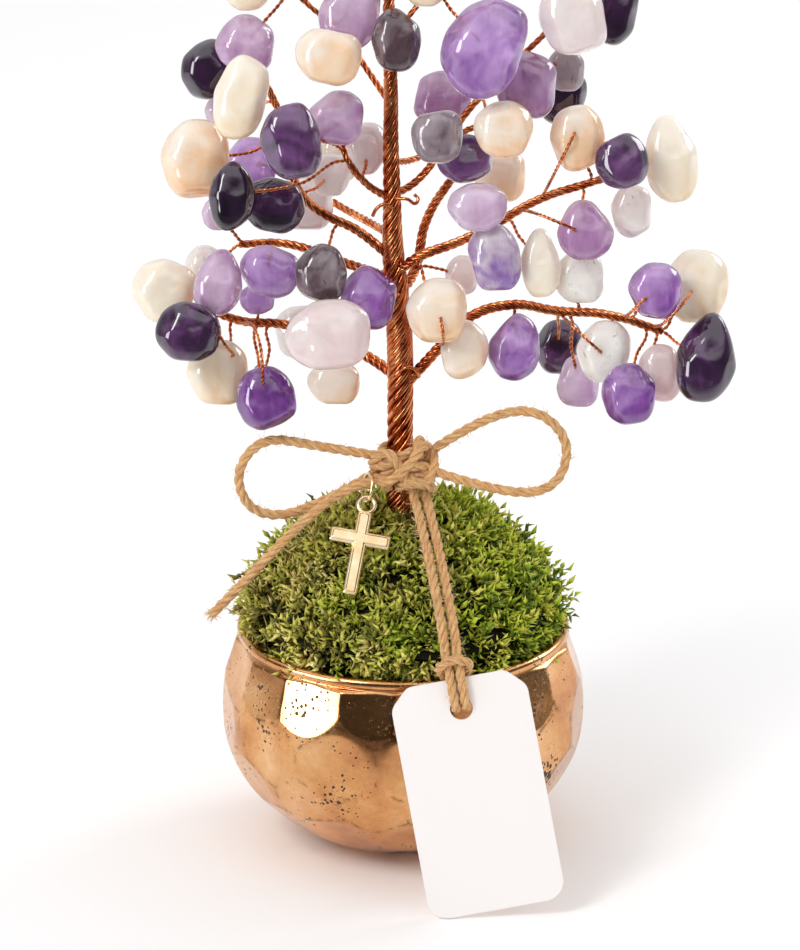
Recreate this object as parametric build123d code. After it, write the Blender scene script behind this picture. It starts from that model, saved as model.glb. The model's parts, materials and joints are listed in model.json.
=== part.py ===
from build123d import *
import math
import os

os.makedirs("parts", exist_ok=True)

# All lengths are millimetres. The foot of the bowl is at the origin, the front is -Y and up is +Z.

# Reading the photograph: the places of stones and branches are pixels, read by eye
photo_pixel = 0.2
foot_pixel = (403, 834)
view_tilt = 20

# Bowl
bowl_height = 45
rim_radius = 33.5
belly_radius = 36.5
belly_height = 26.5
foot_radius = 13
bowl_wall = 2.4
rim_band = 2.4
rim_groove = 0.6
rim_round = 0.7
hammer_marks = 14
hammer_row_shares = (0.0, 0.12, 0.29, 0.47, 0.66, 0.83, 1.0)
bowl_inside_shares = (0.22, 0.42, 0.65, 0.84, 1.0)

# Planting compound and moss
fill_height = 38
fill_gap = 0.1
trunk_foot_gap = 0.15
trunk_hole_gap = 0.3
moss_base_radius = 31
moss_height = 31.5
moss_corners = 14
moss_height_shares = (0.0, 0.23, 0.28, 0.36, 0.57, 0.76, 0.92, 1.0)
moss_radius_shares = (0.96, 0.965, 1.045, 1.06, 0.9, 0.69, 0.44, 0.2)
moss_back_shares = (0.0, 0.0, 0.0, 0.01, 0.07, 0.11, 0.09, 0.05)
moss_lump_share = 0.035
moss_lumps = 5

# Trunk and branches, twisted from wire
trunk_foot_height = 26
trunk_radius = 2.7
trunk_wires = 6
trunk_lay = 20
trunk_stations = 5
valley_share = 0.8
trunk_radius_shares = ((0.0, 1.0), (0.46, 0.98), (0.53, 0.9), (0.6, 0.72), (0.72, 0.56), (0.88, 0.44),
                       (1.0, 0.3))
trunk_pixels = ((400, 520), (400, 430), (400, 350), (397, 300), (393, 250), (392, 200), (391, 150),
                (391, 100), (389, 20), (392, -40), (398, -85))
branch_girth_share = 0.42
branch_tip_share = 0.62
branch_wires = 3
branch_lay = 12
branch_stations = 4
branch_seat_share = 0.3
socket_reach_share = 2.0
socket_gap = 0.15
socket_room = 0.15
bead_spacing = 1.8
stem_radius = 0.42
stem_gap = 0.05
bore_gap = 0.12
longest_stem = 26
least_fork = 38
tip_fan = 60
own_branch_room = 3.2
stem_steps = 12
first_fork_bead = 2

# Branch routes: pixels across and down the photograph, and the depth behind the trunk's axis
branch_depth = 10
branch_routes = {
    "branch_low_left": ((395, 380, 0.0), (368, 357, 0.5), (325, 338, 0.9), (285, 325, 0.7), (244, 322, 0.5),
                        (212, 312, 0.3)),
    "branch_low_right": ((403, 388, 0.0), (432, 356, -0.1), (465, 321, 0.0), (511, 306, 0.2), (555, 312, 0.1),
                         (605, 316, -0.1), (660, 332, 0.0)),
    "branch_inner_left": ((390, 322, 0.0), (365, 318, 0.4), (338, 312, 0.2)),
    "branch_mid_left": ((390, 262, 0.0), (357, 233, 0.0), (326, 218, -0.1), (304, 200, 0.0), (290, 165, 0.2),
                        (281, 119, 0.3), (262, 80, 0.2)),
    "branch_twig_left": ((391, 282, 0.0), (340, 262, 0.9), (285, 244, 1.3), (240, 245, 1.2)),
    "branch_upper_left": ((386, 205, 0.0), (365, 187, -0.3), (348, 165, -0.4), (341, 140, -0.2)),
    "branch_mid_right": ((402, 275, 0.0), (420, 259, -0.3), (455, 246, -0.2), (491, 229, 0.0),
                         (535, 204, 0.2), (587, 187, 0.1), (640, 172, 0.0)),
    "branch_rising_right": ((403, 300, 0.0), (416, 268, 0.8), (425, 225, 1.0), (448, 186, 0.8),
                            (482, 148, 0.6)),
    "branch_upper_right": ((394, 201, 0.0), (415, 186, 0.3), (440, 156, 0.2), (466, 118, 0.3), (505, 78, 0.4),
                           (545, 40, 0.2)),
    "branch_top_left": ((390, 110, 0.0), (370, 80, 0.5), (345, 45, 0.7), (300, 5, 0.6), (270, -25, 0.4)),
    "branch_top_right": ((389, 60, 0.0), (415, 20, -0.3), (460, -20, -0.4), (520, -50, -0.2)),
    "branch_crown": ((391, 5, 0.0), (404, -25, -0.2), (424, -52, -0.3), (436, -78, -0.1)),
    "branch_back_left": ((392, 240, 0.0), (372, 225, 1.0), (330, 200, 2.0), (285, 170, 2.4)),
    "branch_back_right": ((394, 170, 0.0), (420, 160, 1.0), (470, 130, 2.0), (530, 105, 2.3)),
}

# Stones: kind, cut, pixel centre, pixel width and height, turn, and a first depth in layers
stone_layer = 5
stone_thickness_share = 0.78
stone_gap = 0.15
stone_fill_share = 1.06
settle_rounds = 400
settle_slack = 0.03
settle_share = 0.6
stones = (
    ("lilac", "chip", 350, 25, 62, 65, 10, -1),
    ("peach", "chip", 352, -8, 40, 35, 0, 1),
    ("smoky", "egg", 397, 52, 50, 60, 0, -2),
    ("peach", "chip", 331, 68, 67, 52, 15, -2),
    ("lilac", "egg", 249, 54, 60, 58, 0, 0),
    ("violet", "chip", 213, 76, 55, 56, 20, 0),
    ("cream", "egg", 246, 106, 54, 82, 15, -1),
    ("lilac", "chip", 222, 115, 30, 30, 0, 2),
    ("violet", "chip", 294, 149, 61, 72, -10, -2),
    ("lilac", "chip", 337, 126, 57, 51, 0, -1),
    ("rose", "chip", 367, 153, 45, 50, 0, 1),
    ("rose", "chip", 330, 178, 48, 40, 0, 2),
    ("peach", "chip", 200, 166, 69, 75, 0, -1),
    ("violet", "egg", 236, 203, 47, 66, 0, -2),
    ("violet", "bean", 275, 210, 68, 50, 15, -2),
    ("lilac", "chip", 218, 215, 30, 32, 0, 2),
    ("lilac", "drop", 221, 283, 50, 64, 10, -1),
    ("clear", "chip", 205, 268, 40, 42, 0, 2),
    ("cream", "bean", 165, 293, 69, 59, 20, 0),
    ("violet", "bean", 190, 334, 70, 55, 10, -1),
    ("amethyst", "bean", 270, 273, 63, 48, 20, -1),
    ("amethyst", "chip", 258, 300, 36, 30, 0, 1),
    ("smoky", "chip", 323, 277, 53, 56, 10, -2),
    ("amethyst", "chip", 369, 300, 57, 60, 5, -2),
    ("rose", "bean", 328, 338, 89, 66, -5, -2),
    ("peach", "bean", 334, 384, 55, 40, 0, 0),
    ("cream", "chip", 219, 374, 62, 62, 0, -1),
    ("lilac", "drop", 262, 385, 31, 46, 0, 1),
    ("amethyst", "chip", 267, 400, 60, 59, -15, -2),
    ("cream", "chip", 424, 3, 38, 34, 0, -1),
    ("amethyst", "bean", 481, 60, 82, 95, 25, -2),
    ("lilac", "chip", 524, 93, 62, 63, 0, -1),
    ("rose", "chip", 568, 30, 66, 80, -15, -1),
    ("cream", "chip", 549, -6, 30, 24, 0, 1),
    ("violet", "chip", 609, 20, 50, 66, 10, 0),
    ("smoky", "chip", 563, 74, 38, 44, 0, 2),
    ("peach", "bean", 500, 139, 62, 53, -10, -1),
    ("smoky", "chip", 437, 144, 52, 50, 10, -2),
    ("violet", "egg", 465, 165, 57, 47, 0, -1),
    ("peach", "egg", 574, 144, 56, 64, 0, -1),
    ("violet", "bean", 615, 169, 54, 52, -20, -2),
    ("cream", "drop", 666, 162, 55, 85, -10, 0),
    ("clear", "chip", 629, 214, 41, 52, 0, 0),
    ("lilac", "bean", 475, 213, 61, 46, 0, -2),
    ("clear", "chip", 492, 263, 53, 63, -10, -2),
    ("lilac", "egg", 582, 235, 58, 58, 0, -1),
    ("cream", "drop", 538, 265, 41, 68, 0, -1),
    ("clear", "chip", 578, 279, 51, 50, 0, -1),
    ("rose", "chip", 462, 276, 34, 38, 0, 2),
    ("peach", "chip", 438, 313, 61, 62, 0, -2),
    ("peach", "egg", 463, 351, 49, 58, 0, -1),
    ("amethyst", "drop", 515, 346, 53, 66, 15, -1),
    ("amethyst", "chip", 652, 294, 54, 54, 0, -1),
    ("cream", "chip", 694, 288, 67, 70, 0, 0),
    ("violet", "drop", 703, 357, 61, 86, 10, -1),
    ("clear", "chip", 603, 353, 55, 60, 0, -1),
    ("lilac", "chip", 578, 382, 44, 50, 0, 1),
    ("amethyst", "chip", 626, 395, 55, 56, -10, -2),
    ("rose", "chip", 658, 374, 44, 56, 0, -1),
    ("amethyst", "bean", 300, -32, 64, 56, 15, -1),
    ("cream", "egg", 252, -8, 52, 58, 0, 0),
    ("rose", "bean", 352, -62, 66, 56, 0, -1),
    ("amethyst", "chip", 404, -66, 54, 58, 0, -2),
    ("lilac", "egg", 440, -100, 54, 62, 0, 0),
    ("violet", "chip", 386, -118, 52, 54, 10, 0),
    ("peach", "egg", 463, -38, 58, 62, 0, -1),
    ("clear", "chip", 508, -82, 50, 54, 0, 0),
    ("smoky", "chip", 541, -40, 50, 46, 0, -1),
    ("rose", "chip", 306, 202, 58, 54, 0, 3),
    ("amethyst", "chip", 250, 165, 56, 52, 0, 4),
    ("cream", "bean", 334, 160, 62, 52, 0, 5),
    ("violet", "chip", 560, 95, 56, 60, 0, 4),
    ("peach", "chip", 500, 175, 54, 52, 0, 4),
    ("lilac", "bean", 440, 100, 60, 54, 0, 4),
    ("clear", "chip", 300, 330, 54, 52, 0, 4),
    ("violet", "chip", 560, 345, 50, 54, 0, 4),
)

# Sections of the four ways a pebble is tumbled: height, girth and sideways shift
pebble_shares = {
    "egg": ((-1, 0.4, 0), (-0.66, 0.83, 0), (-0.05, 1, 0), (0.6, 0.8, 0), (1, 0.34, 0)),
    "chip": ((-1, 0.52, 0.06), (-0.6, 0.88, 0.02), (0.08, 1, -0.03), (0.62, 0.84, 0.05), (1, 0.46, 0.1)),
    "bean": ((-1, 0.44, 0.12), (-0.58, 0.86, 0.06), (0, 0.97, 0.03), (0.58, 0.86, 0.06), (1, 0.44, 0.12)),
    "drop": ((-1, 0.48, 0), (-0.6, 0.9, 0), (-0.12, 1, 0), (0.42, 0.72, 0), (1, 0.26, 0)),
}
corner_shares = (0.0, 0.15, 0.34, 0.5, 0.66, 0.85)

# Twine bow, with its routes in millimetres
twine_radius = 1
knot_width = 13
knot_height = 11
knot_depth = 8.8
knot_place = (0.4, -8, 80.8)
lump_corners = 10
lump_shares = ((-1, 0.5), (-0.6, 0.87), (0, 1), (0.6, 0.87), (1, 0.5))
twine_gap = 0.1
wrap_gap = 0.2
least_turn_share = 6
cord_turn_share = 0.45
left_loop_route = ((-4.8, -7.6, 83.2), (-17, -9, 85.8), (-28.2, -10, 88.3), (-33.8, -10.5, 80),
                   (-29.6, -10, 71.1), (-18.2, -8.5, 71.8), (-4.6, -5.6, 79.6))
right_loop_route = ((5, -7.8, 83.9), (13.4, -9.2, 90.6), (25.4, -10.4, 94.9), (33.4, -11.6, 88.1),
                    (30.6, -12.4, 77.7), (19.4, -12.2, 76.8), (5, -10.4, 81.4))
tail_route = ((-4.4, -10, 79.3), (-11.8, -11.8, 77.9), (-20.6, -13, 70.7), (-28.2, -12, 62),
              (-38.2, -10, 50.4))
tag_cord_left_route = ((1.8, -10.2, 77.4), (4, -17.4, 71), (6, -25.2, 63.4), (7.5, -30.6, 57),
                       (8.3, -34, 51.5))
tag_cord_right_route = ((4.1, -9.4, 77.2), (6.3, -16.6, 70.8), (8.3, -24.4, 63.2), (9.8, -29.8, 56.8),
                        (10.6, -33.3, 51.5))

# Paper tag, leaning on the bowl
tag_width = 27.2
tag_length = 46.8
tag_thickness = 0.8
tag_top_cut = 3.8
tag_top_round = 3
tag_foot_round = 4
tag_hole_radius = 2.25
tag_hole_drop = 6
tag_lean = 13
tag_roll = 10.5
tag_aside = 18.9
rest_gap = 0.2
rest_steps = 20
collar_width = 6
collar_girth = 4.2
collar_rise = 2.5
hitch_gap = 0.12

# Jump ring and cross charm
ring_wire_radius = 0.3
ring_inner_radius = 2.5
ring_gap = 0.3
ring_place_share = 0.36
ring_lean = 34
ring_yaw = 20
charm_tilt = -10.5
charm_height = 17
charm_width = 12
charm_arm = 2.8
charm_thickness = 1.1
charm_bar_share = 0.68
charm_border = 0.55
charm_raise = 0.35
charm_end_share = 0.24
charm_overlap = 0.5
eyelet_radius = 2
eyelet_hole_radius = 1.25
eyelet_gap = 0.2

cut_over = 1
share_slack = 0.0001
tilt = math.radians(view_tilt)
up_in_view = (0, math.sin(tilt), math.cos(tilt))
away_in_view = (0, math.cos(tilt), -math.sin(tilt))


def photo_point(across, down, depth):
    aside = (across - foot_pixel[0]) * photo_pixel
    rise = (foot_pixel[1] - down) * photo_pixel
    return Vector(aside, depth, (rise - depth * math.sin(tilt)) / math.cos(tilt))


def blend_shares(table, share):
    for (low, first), (high, second) in zip(table, table[1:]):
        if share <= high:
            return first + (second - first) * (share - low) / (high - low)
    return table[-1][1]


def polygon(corners):
    return Face(Wire.make_polygon(corners))


# A rope of wires: star sections that turn once for each lay
def twisted_rope(path, radius_at, wires, valley, lay, stations):
    count = max(2, round(path.length / lay * stations))
    sections = []
    for step in range(count + 1):
        share = step / count
        frame = Plane(origin=path @ share, x_dir=Vector(0, 1, 0).cross(path % share), z_dir=path % share)
        twist = 2 * math.pi * path.length * share / lay
        ring = []
        for corner in range(2 * wires):
            angle = math.pi * corner / wires + twist
            reach = radius_at(share) * (valley if corner % 2 else 1)
            ring.append(frame.from_local_coords(Vector(reach * math.cos(angle), reach * math.sin(angle), 0)))
        sections.append(polygon(ring))
    return loft(sections, ruled=True)


def hex_rod(start, end, radius):
    line = end - start
    return extrude(Plane(origin=start, z_dir=line) * RegularPolygon(radius, 6), line.length)


# Bowl: a turned shell hammered into rows of flats, under a rolled rim
low_half = belly_height / math.sqrt(1 - (foot_radius / belly_radius) ** 2)
top_half = (bowl_height - belly_height) / math.sqrt(1 - (rim_radius / belly_radius) ** 2)
neck_height = bowl_height - rim_band


def bowl_radius(height):
    half = top_half if height > belly_height else low_half
    return belly_radius * math.sqrt(1 - ((height - belly_height) / half) ** 2)


def turned(points):
    return revolve(Plane.XZ * polygon([Vector(*point, 0) for point in points]), Axis.Z)


# Staggered rings joined by flat facets, as a planished skin
def planished(radii, heights, corners):
    rings = []
    for row, (radius, height) in enumerate(zip(radii, heights)):
        turns = [2 * math.pi * (corner + row % 2 / 2) / corners for corner in range(corners)]
        rings.append([Vector(radius * math.cos(turn), radius * math.sin(turn), height) for turn in turns])
    faces = [polygon(rings[0]), polygon(rings[-1])]
    for row, (low, high) in enumerate(zip(rings, rings[1:])):
        for corner in range(corners):
            after = (corner + 1) % corners
            over, under = (corner, after) if row % 2 == 0 else (after, corner)
            faces.append(polygon([low[corner], low[after], high[over]]))
            faces.append(polygon([high[corner], high[after], low[under]]))
    return Solid(Shell(faces))


def make_bowl():
    heights = [neck_height * share for share in hammer_row_shares]
    radii = [foot_radius] + [bowl_radius(height) for height in heights[1:]]
    shell = planished(radii, heights, hammer_marks)
    inside = [(foot_radius, bowl_wall)] + [(bowl_radius(neck_height * share) - bowl_wall, neck_height * share)
                                           for share in bowl_inside_shares]
    mouth = inside[-1][0]
    shell -= turned([(0, bowl_wall)] + inside + [(0, neck_height)])
    rim = turned(((mouth, neck_height - rim_groove), (rim_radius - rim_groove, neck_height - rim_groove),
                  (rim_radius - rim_groove, neck_height), (rim_radius, neck_height + rim_round),
                  (rim_radius, bowl_height - rim_round), (rim_radius - rim_round, bowl_height),
                  (mouth + rim_round, bowl_height), (mouth, bowl_height - rim_round)))
    return shell + rim


# Moss mound: a lumpy dome that spills over the rim, with a hole for the trunk
def make_moss(trunk_hole):
    sections = []
    for row, share in enumerate(moss_height_shares):
        radius = moss_base_radius * moss_radius_shares[row]
        back = moss_base_radius * moss_back_shares[row]
        ring = []
        for corner in range(moss_corners):
            turn = 2 * math.pi * corner / moss_corners
            lump = 1 + moss_lump_share * math.sin(moss_lumps * turn + row)
            ring.append(Vector(radius * lump * math.cos(turn), back + radius * lump * math.sin(turn),
                               fill_height + fill_gap + moss_height * share))
        sections.append(polygon(ring))
    return loft(sections, ruled=True) - trunk_hole


def make_compound():
    inset = bowl_wall + fill_gap
    sides = [(foot_radius - fill_gap, bowl_wall + fill_gap)]
    for share in bowl_inside_shares:
        height = neck_height * share
        if height < fill_height:
            sides.append((bowl_radius(height) - inset, height))
    sides.append((bowl_radius(neck_height) - inset, fill_height))
    return turned([(0, bowl_wall + fill_gap)] + sides + [(0, fill_height)])


# Twine: a six-sided cord whose turns are as round as its runs allow
def cord_route(points):
    corners = [Vector(*point) for point in points]
    radii = []
    for before, here, after in zip(corners, corners[1:], corners[2:]):
        half_turn = math.radians((here - before).get_angle(after - here)) / 2
        run = min((here - before).length, (after - here).length)
        radii.append(cord_turn_share * run / math.tan(half_turn))
    return FilletPolyline(*corners, radius=radii), radii


def tube(route, radius):
    return sweep(Plane(origin=route @ 0, z_dir=route % 0) * RegularPolygon(radius, 6), path=route)


def print_cord(name, route, radii):
    print(name, "length", round(route.length, 1), "turn radii", [round(radius, 1) for radius in radii],
          "least allowed", least_turn_share * twine_radius)


# A rounded lump along a frame's z axis, in flat facets
def rounded_lump(frame, half_across, half_up, half_along):
    sections = []
    for along, girth in lump_shares:
        ring = []
        for corner in range(lump_corners):
            turn = 2 * math.pi * corner / lump_corners
            place = half_across * girth * math.cos(turn), half_up * girth * math.sin(turn), half_along * along
            ring.append(frame.from_local_coords(Vector(*place)))
        sections.append(polygon(ring))
    return loft(sections, ruled=True)


# The knot: a lump in front of the trunk that its cords come out of, and a turn of twine round the trunk
def make_knot(cords, trunk_centre):
    frame = Plane(origin=knot_place, x_dir=(0, 1, 0), z_dir=(1, 0, 0))
    halves = knot_depth / 2, knot_height / 2, knot_width / 2
    lump = rounded_lump(frame, *halves)
    room = rounded_lump(frame, *[half + wrap_gap for half in halves])
    for route in cords:
        lump -= tube(route, twine_radius + twine_gap)
    turn_radius = trunk_radius + twine_gap + twine_radius
    ring = Plane.XZ * Pos(turn_radius, 0) * RegularPolygon(twine_radius, 6)
    wrap = Pos(trunk_centre.X, trunk_centre.Y, knot_place[2]) * revolve(ring, Axis.Z) - room
    return [lump, wrap]


# Routes of the trunk and the branches
def trunk_at(trunk, height):
    low, high = 0.0, 1.0
    while high - low > share_slack:
        middle = (low + high) / 2
        if (trunk @ middle).Z < height:
            low = middle
        else:
            high = middle
    return low


def trunk_radius_at(share):
    return trunk_radius * blend_shares(trunk_radius_shares, share)


# A branch starts in a socket beside the trunk's axis, and its girth follows the trunk's there
class Branch:
    def __init__(self, name, pixels, trunk):
        self.name = name
        points = [photo_point(across, down, share * branch_depth) for across, down, share in pixels]
        share = trunk_at(trunk, points[0].Z)
        axis = trunk @ share
        aside = (points[1] - axis).normalized()
        self.start_radius = branch_girth_share * trunk_radius_at(share)
        start = axis + aside * branch_seat_share * trunk_radius_at(share)
        self.route = Spline(start, *points[1:], tangents=[aside, points[-1] - points[-2]])
        self.mouth = start + aside * socket_reach_share * trunk_radius
        socket_radius = self.start_radius + socket_gap + socket_room
        self.socket = hex_rod(start - aside * socket_gap, self.mouth, socket_radius)
        self.stems = []

    def radius_at(self, share):
        return self.start_radius * (1 + (branch_tip_share - 1) * share)

    def rope(self):
        return twisted_rope(self.route, self.radius_at, branch_wires, valley_share, branch_lay,
                            branch_stations)


# Plain vector sums for the stones' search for room
def add(one, other, factor=1.0):
    return tuple(a + factor * b for a, b in zip(one, other))


def dot(one, other):
    return sum(a * b for a, b in zip(one, other))


def size(one):
    return math.sqrt(dot(one, one))


def nearest_on(point, start, end):
    line = add(end, start, -1)
    share = max(0.0, min(1.0, dot(add(point, start, -1), line) / dot(line, line)))
    return add(start, line, share)


def beads(route, radius_at, spacing):
    count = max(2, round(route.length / spacing))
    return [(tuple(route @ (step / count)), radius_at(step / count)) for step in range(count + 1)]


class Stone:
    def __init__(self, row):
        self.kind, self.cut, across, down, wide, high, turn, layer = row
        self.across = (across - foot_pixel[0]) * photo_pixel
        self.rise = (foot_pixel[1] - down) * photo_pixel
        self.depth = layer * stone_layer
        self.halves = (wide * photo_pixel / 2, stone_thickness_share * min(wide, high) * photo_pixel / 2,
                       high * photo_pixel / 2)
        lean = math.radians(turn)
        self.axes = (add((math.cos(lean), 0, 0), up_in_view, -math.sin(lean)), away_in_view,
                     add((math.sin(lean), 0, 0), up_in_view, math.cos(lean)))

    def centre(self):
        return self.across, self.depth, (self.rise - self.depth * math.sin(tilt)) / math.cos(tilt)

    def reach(self, direction):
        parts = [half * dot(axis, direction) for half, axis in zip(self.halves, self.axes)]
        return stone_fill_share * size(parts)

    def misses(self, start, end, room):
        local = []
        for point in (start, end):
            away = add(point, self.centre(), -1)
            parts = zip(self.halves, self.axes)
            local.append(tuple(dot(away, axis) / (half + room) for half, axis in parts))
        return size(nearest_on((0, 0, 0), *local)) > stone_fill_share

    def solid(self):
        wide, thick, high = self.halves
        frame = Plane(origin=self.centre(), x_dir=self.axes[0], z_dir=self.axes[2])
        sections = []
        for height, girth, shift in pebble_shares[self.cut]:
            ring = []
            for share in corner_shares:
                turn = 2 * math.pi * share
                aside = wide * (girth * math.cos(turn) + shift)
                place = Vector(aside, thick * girth * math.sin(turn), high * height)
                ring.append(frame.from_local_coords(place))
            sections.append(polygon(ring))
        start, end = self.stem
        line = (end - start).normalized()
        bore = hex_rod(end - line * 2 * max(self.halves), end + line * bore_gap, stem_radius + bore_gap)
        return loft(sections, ruled=True) - bore


# Stones that the photograph shows one behind another move apart along the line of sight
def seen_apart(stone, across, rise):
    return math.hypot(stone.across - across, stone.rise - rise)


def shortfall(stone, place, other_reach):
    apart = add(place, stone.centre(), -1)
    distance = size(apart)
    line = tuple(part / distance for part in apart)
    return stone.reach(line) + other_reach(line) + stone_gap - distance


def settle(pebbles, fixed):
    pairs = []
    for first, stone in enumerate(pebbles):
        for other in pebbles[first + 1:]:
            room = max(stone.halves) + max(other.halves) + stone_gap
            if seen_apart(stone, other.across, other.rise) < room:
                pairs.append((stone, other))
    blocked = []
    for stone in pebbles:
        for place, radius in fixed:
            if seen_apart(stone, place[0], dot(place, up_in_view)) < max(stone.halves) + radius + stone_gap:
                blocked.append((stone, place, radius))
    for _ in range(settle_rounds):
        moved = 0
        for stone, other in pairs:
            short = shortfall(stone, other.centre(), other.reach)
            if short > settle_slack:
                way = 1 if other.depth >= stone.depth else -1
                stone.depth -= way * short * settle_share / 2
                other.depth += way * short * settle_share / 2
                moved += 1
        for stone, place, radius in blocked:
            short = shortfall(stone, place, lambda line: radius)
            if short > settle_slack:
                stone.depth += (1 if stone.depth > place[1] else -1) * short * settle_share
                moved += 1
        if not moved:
            break
    print("stones settled, still moving", moved)


# Each stone's stem leaves a branch at the nearest place from which it runs clear
def stem_start(point, tangent, radius, line, at_tip):
    along = dot(tangent, line)
    across = math.sqrt(max(0.0, 1 - along * along))
    if at_tip and along > math.cos(math.radians(tip_fan)):
        return add(point, line, (stem_gap + stem_radius * across) / along)
    if abs(along) > math.cos(math.radians(least_fork)):
        return None
    return add(point, line, (radius + stem_radius * abs(along) + stem_gap) / across)


def find_stem(stone, pebbles, branches, stems, trunk_beads):
    centre = stone.centre()
    choices = []
    for branch in branches:
        for count, (point, radius) in enumerate(branch.beads):
            line = add(centre, point, -1)
            length = size(line)
            if length > longest_stem:
                continue
            line = tuple(part / length for part in line)
            at_tip = count == len(branch.beads) - 1
            start = stem_start(point, branch.tangents[count], radius, line, at_tip)
            if start is None or count < first_fork_bead:
                continue
            back = max(0.0, -dot(branch.tangents[count], line))
            choices.append((length * (1 + back), start, branch, point))
    for cost, start, branch, root in sorted(choices, key=lambda choice: choice[0]):
        end = centre
        others = [other for other in pebbles if other is not stone]
        if any(not other.misses(start, end, stem_radius + stem_gap) for other in others):
            continue
        crowded = False
        for place, radius in branch.others + trunk_beads:
            if size(add(place, nearest_on(place, start, end), -1)) < radius + stem_radius + stem_gap:
                crowded = True
        for place, radius in branch.beads:
            room = radius + stem_radius + stem_gap
            far = size(add(place, root, -1)) > own_branch_room
            if far and size(add(place, nearest_on(place, start, end), -1)) < room:
                crowded = True
        for first, last in stems:
            for step in range(stem_steps + 1):
                place = add(first, add(last, first, -1), step / stem_steps)
                if size(add(place, nearest_on(place, start, end), -1)) < 2 * stem_radius + stem_gap:
                    crowded = True
        if not crowded:
            stems.append((start, end))
            stone.stem = Vector(*start), Vector(*end)
            branch.stems.append(stone)
            return True
    return False


# The tag leans on the bowl's rim, turned in its own plane until its left corner stands on the floor
lean = math.radians(tag_lean)
roll = math.radians(tag_roll)
up_in_tag = Vector(0, math.sin(lean), math.cos(lean))
hitch_aside = tag_aside - (tag_length + collar_rise) * math.sin(roll) - collar_width / 2
rest_places = [(bowl_radius(neck_height * step / rest_steps), neck_height * step / rest_steps)
               for step in range(rest_steps + 1)]
rest_places.append((rim_radius, bowl_height - rim_round))
bowl_reach = max(math.sqrt(radius ** 2 - hitch_aside ** 2) * math.cos(lean) + height * math.sin(lean)
                 for radius, height in rest_places)
tag_distance = (bowl_reach + rest_gap + 2 * twine_radius + hitch_gap) / math.cos(lean)
tag_rise = (tag_width / 2 - tag_foot_round) * math.sin(roll) + tag_foot_round * (1 - math.cos(roll))
tag_frame = Plane(origin=Vector(tag_aside, -tag_distance, 0) + up_in_tag * tag_rise,
                  x_dir=Vector(math.cos(roll), 0, 0) + up_in_tag * math.sin(roll),
                  z_dir=(0, -math.cos(lean), math.sin(lean)))
collar_centre = tag_frame.from_local_coords(Vector(0, tag_length + collar_rise, tag_thickness / 2))


def make_tag():
    card = Pos(0, tag_length / 2) * Rectangle(tag_width, tag_length)
    card = chamfer(card.vertices().sort_by(Axis.Y)[-2:], tag_top_cut)
    corners = card.vertices().sort_by(Axis.Y)
    card = fillet(corners[:2], tag_foot_round)
    card = fillet(card.vertices().sort_by(Axis.Y)[-4:], tag_top_round)
    card -= Pos(0, tag_length - tag_hole_drop) * Circle(tag_hole_radius)
    return extrude(tag_frame * card, tag_thickness)


def make_hitch():
    collar = rounded_lump(Plane(origin=collar_centre, x_dir=tag_frame.z_dir, z_dir=tag_frame.x_dir),
                          collar_girth / 2, collar_girth / 2, collar_width / 2)
    bend = tag_thickness / 2 + hitch_gap + twine_radius
    middle = tag_thickness / 2
    hole = tag_length - tag_hole_drop
    top = tag_length + collar_rise
    strands = []
    for side in (-1, 1):
        aside = side * (twine_radius + hitch_gap / 2)
        spots = [tag_frame.from_local_coords(Vector(aside, height, middle + out)) for height, out in
                 ((top, bend), (hole + bend, bend), (hole, 0), (hole + bend, -bend), (top, -bend))]
        route = Line(*spots[:2]) + ThreePointArc(*spots[1:4]) + Line(*spots[3:])
        strands.append(tube(route, twine_radius))
        collar -= tube(route, twine_radius + hitch_gap / 2)
    return [collar] + strands


# The jump ring hangs on the tail's first run, and the cross hangs in it
ring_turn = math.radians(ring_lean)
ring_down = Vector(0, -math.sin(ring_turn), -math.cos(ring_turn))
tail_run = Vector(*tail_route[1]) - Vector(*tail_route[0])
ring_hinge = Vector(*tail_route[0]) + tail_run * ring_place_share
twine_in_ring = twine_radius * tail_run.length / abs(tail_run.X)
ring_centre = ring_hinge + ring_down * (ring_inner_radius - twine_in_ring - ring_gap)
charm_hinge = ring_centre + ring_down * (ring_inner_radius + ring_wire_radius)
charm_axis = Vector(0, -math.cos(ring_turn), math.sin(ring_turn))
ring_axis = Vector(1, 0, 0) * math.cos(math.radians(ring_yaw)) - charm_axis * math.sin(math.radians(ring_yaw))


def make_jump_ring():
    wire = Pos(ring_inner_radius + ring_wire_radius, 0) * Circle(ring_wire_radius)
    return Plane(origin=ring_centre, x_dir=ring_down, z_dir=ring_axis) * revolve(Plane.XZ * wire, Axis.Z)


def make_charm():
    frame = Plane(origin=charm_hinge, x_dir=(1, 0, 0), z_dir=charm_axis)
    eyelet_drop = eyelet_hole_radius - ring_wire_radius - eyelet_gap
    top = -eyelet_drop - eyelet_radius + charm_overlap
    bar = top - charm_height * (1 - charm_bar_share)

    def cross(inset):
        arm = charm_arm - 2 * inset
        rounding = arm * charm_end_share
        post = Pos(0, top - charm_height / 2) * RectangleRounded(arm, charm_height - 2 * inset, rounding)
        beam = Pos(0, bar) * RectangleRounded(charm_width - 2 * inset, arm, rounding)
        return post + beam

    plate = extrude(cross(0), charm_thickness / 2, both=True)
    plate += Pos(0, 0, charm_thickness / 2) * extrude(cross(charm_border), charm_raise)
    plate += Pos(0, 0, -charm_thickness / 2 - charm_raise) * extrude(cross(charm_border), charm_raise)
    eyelet = extrude(Pos(0, -eyelet_drop) * Circle(eyelet_radius), charm_thickness / 2, both=True)
    hole = extrude(Pos(0, -eyelet_drop) * Circle(eyelet_hole_radius), charm_thickness, both=True)
    charm = plate + eyelet - hole
    return frame * Rot(0, 0, charm_tilt) * charm


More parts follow.
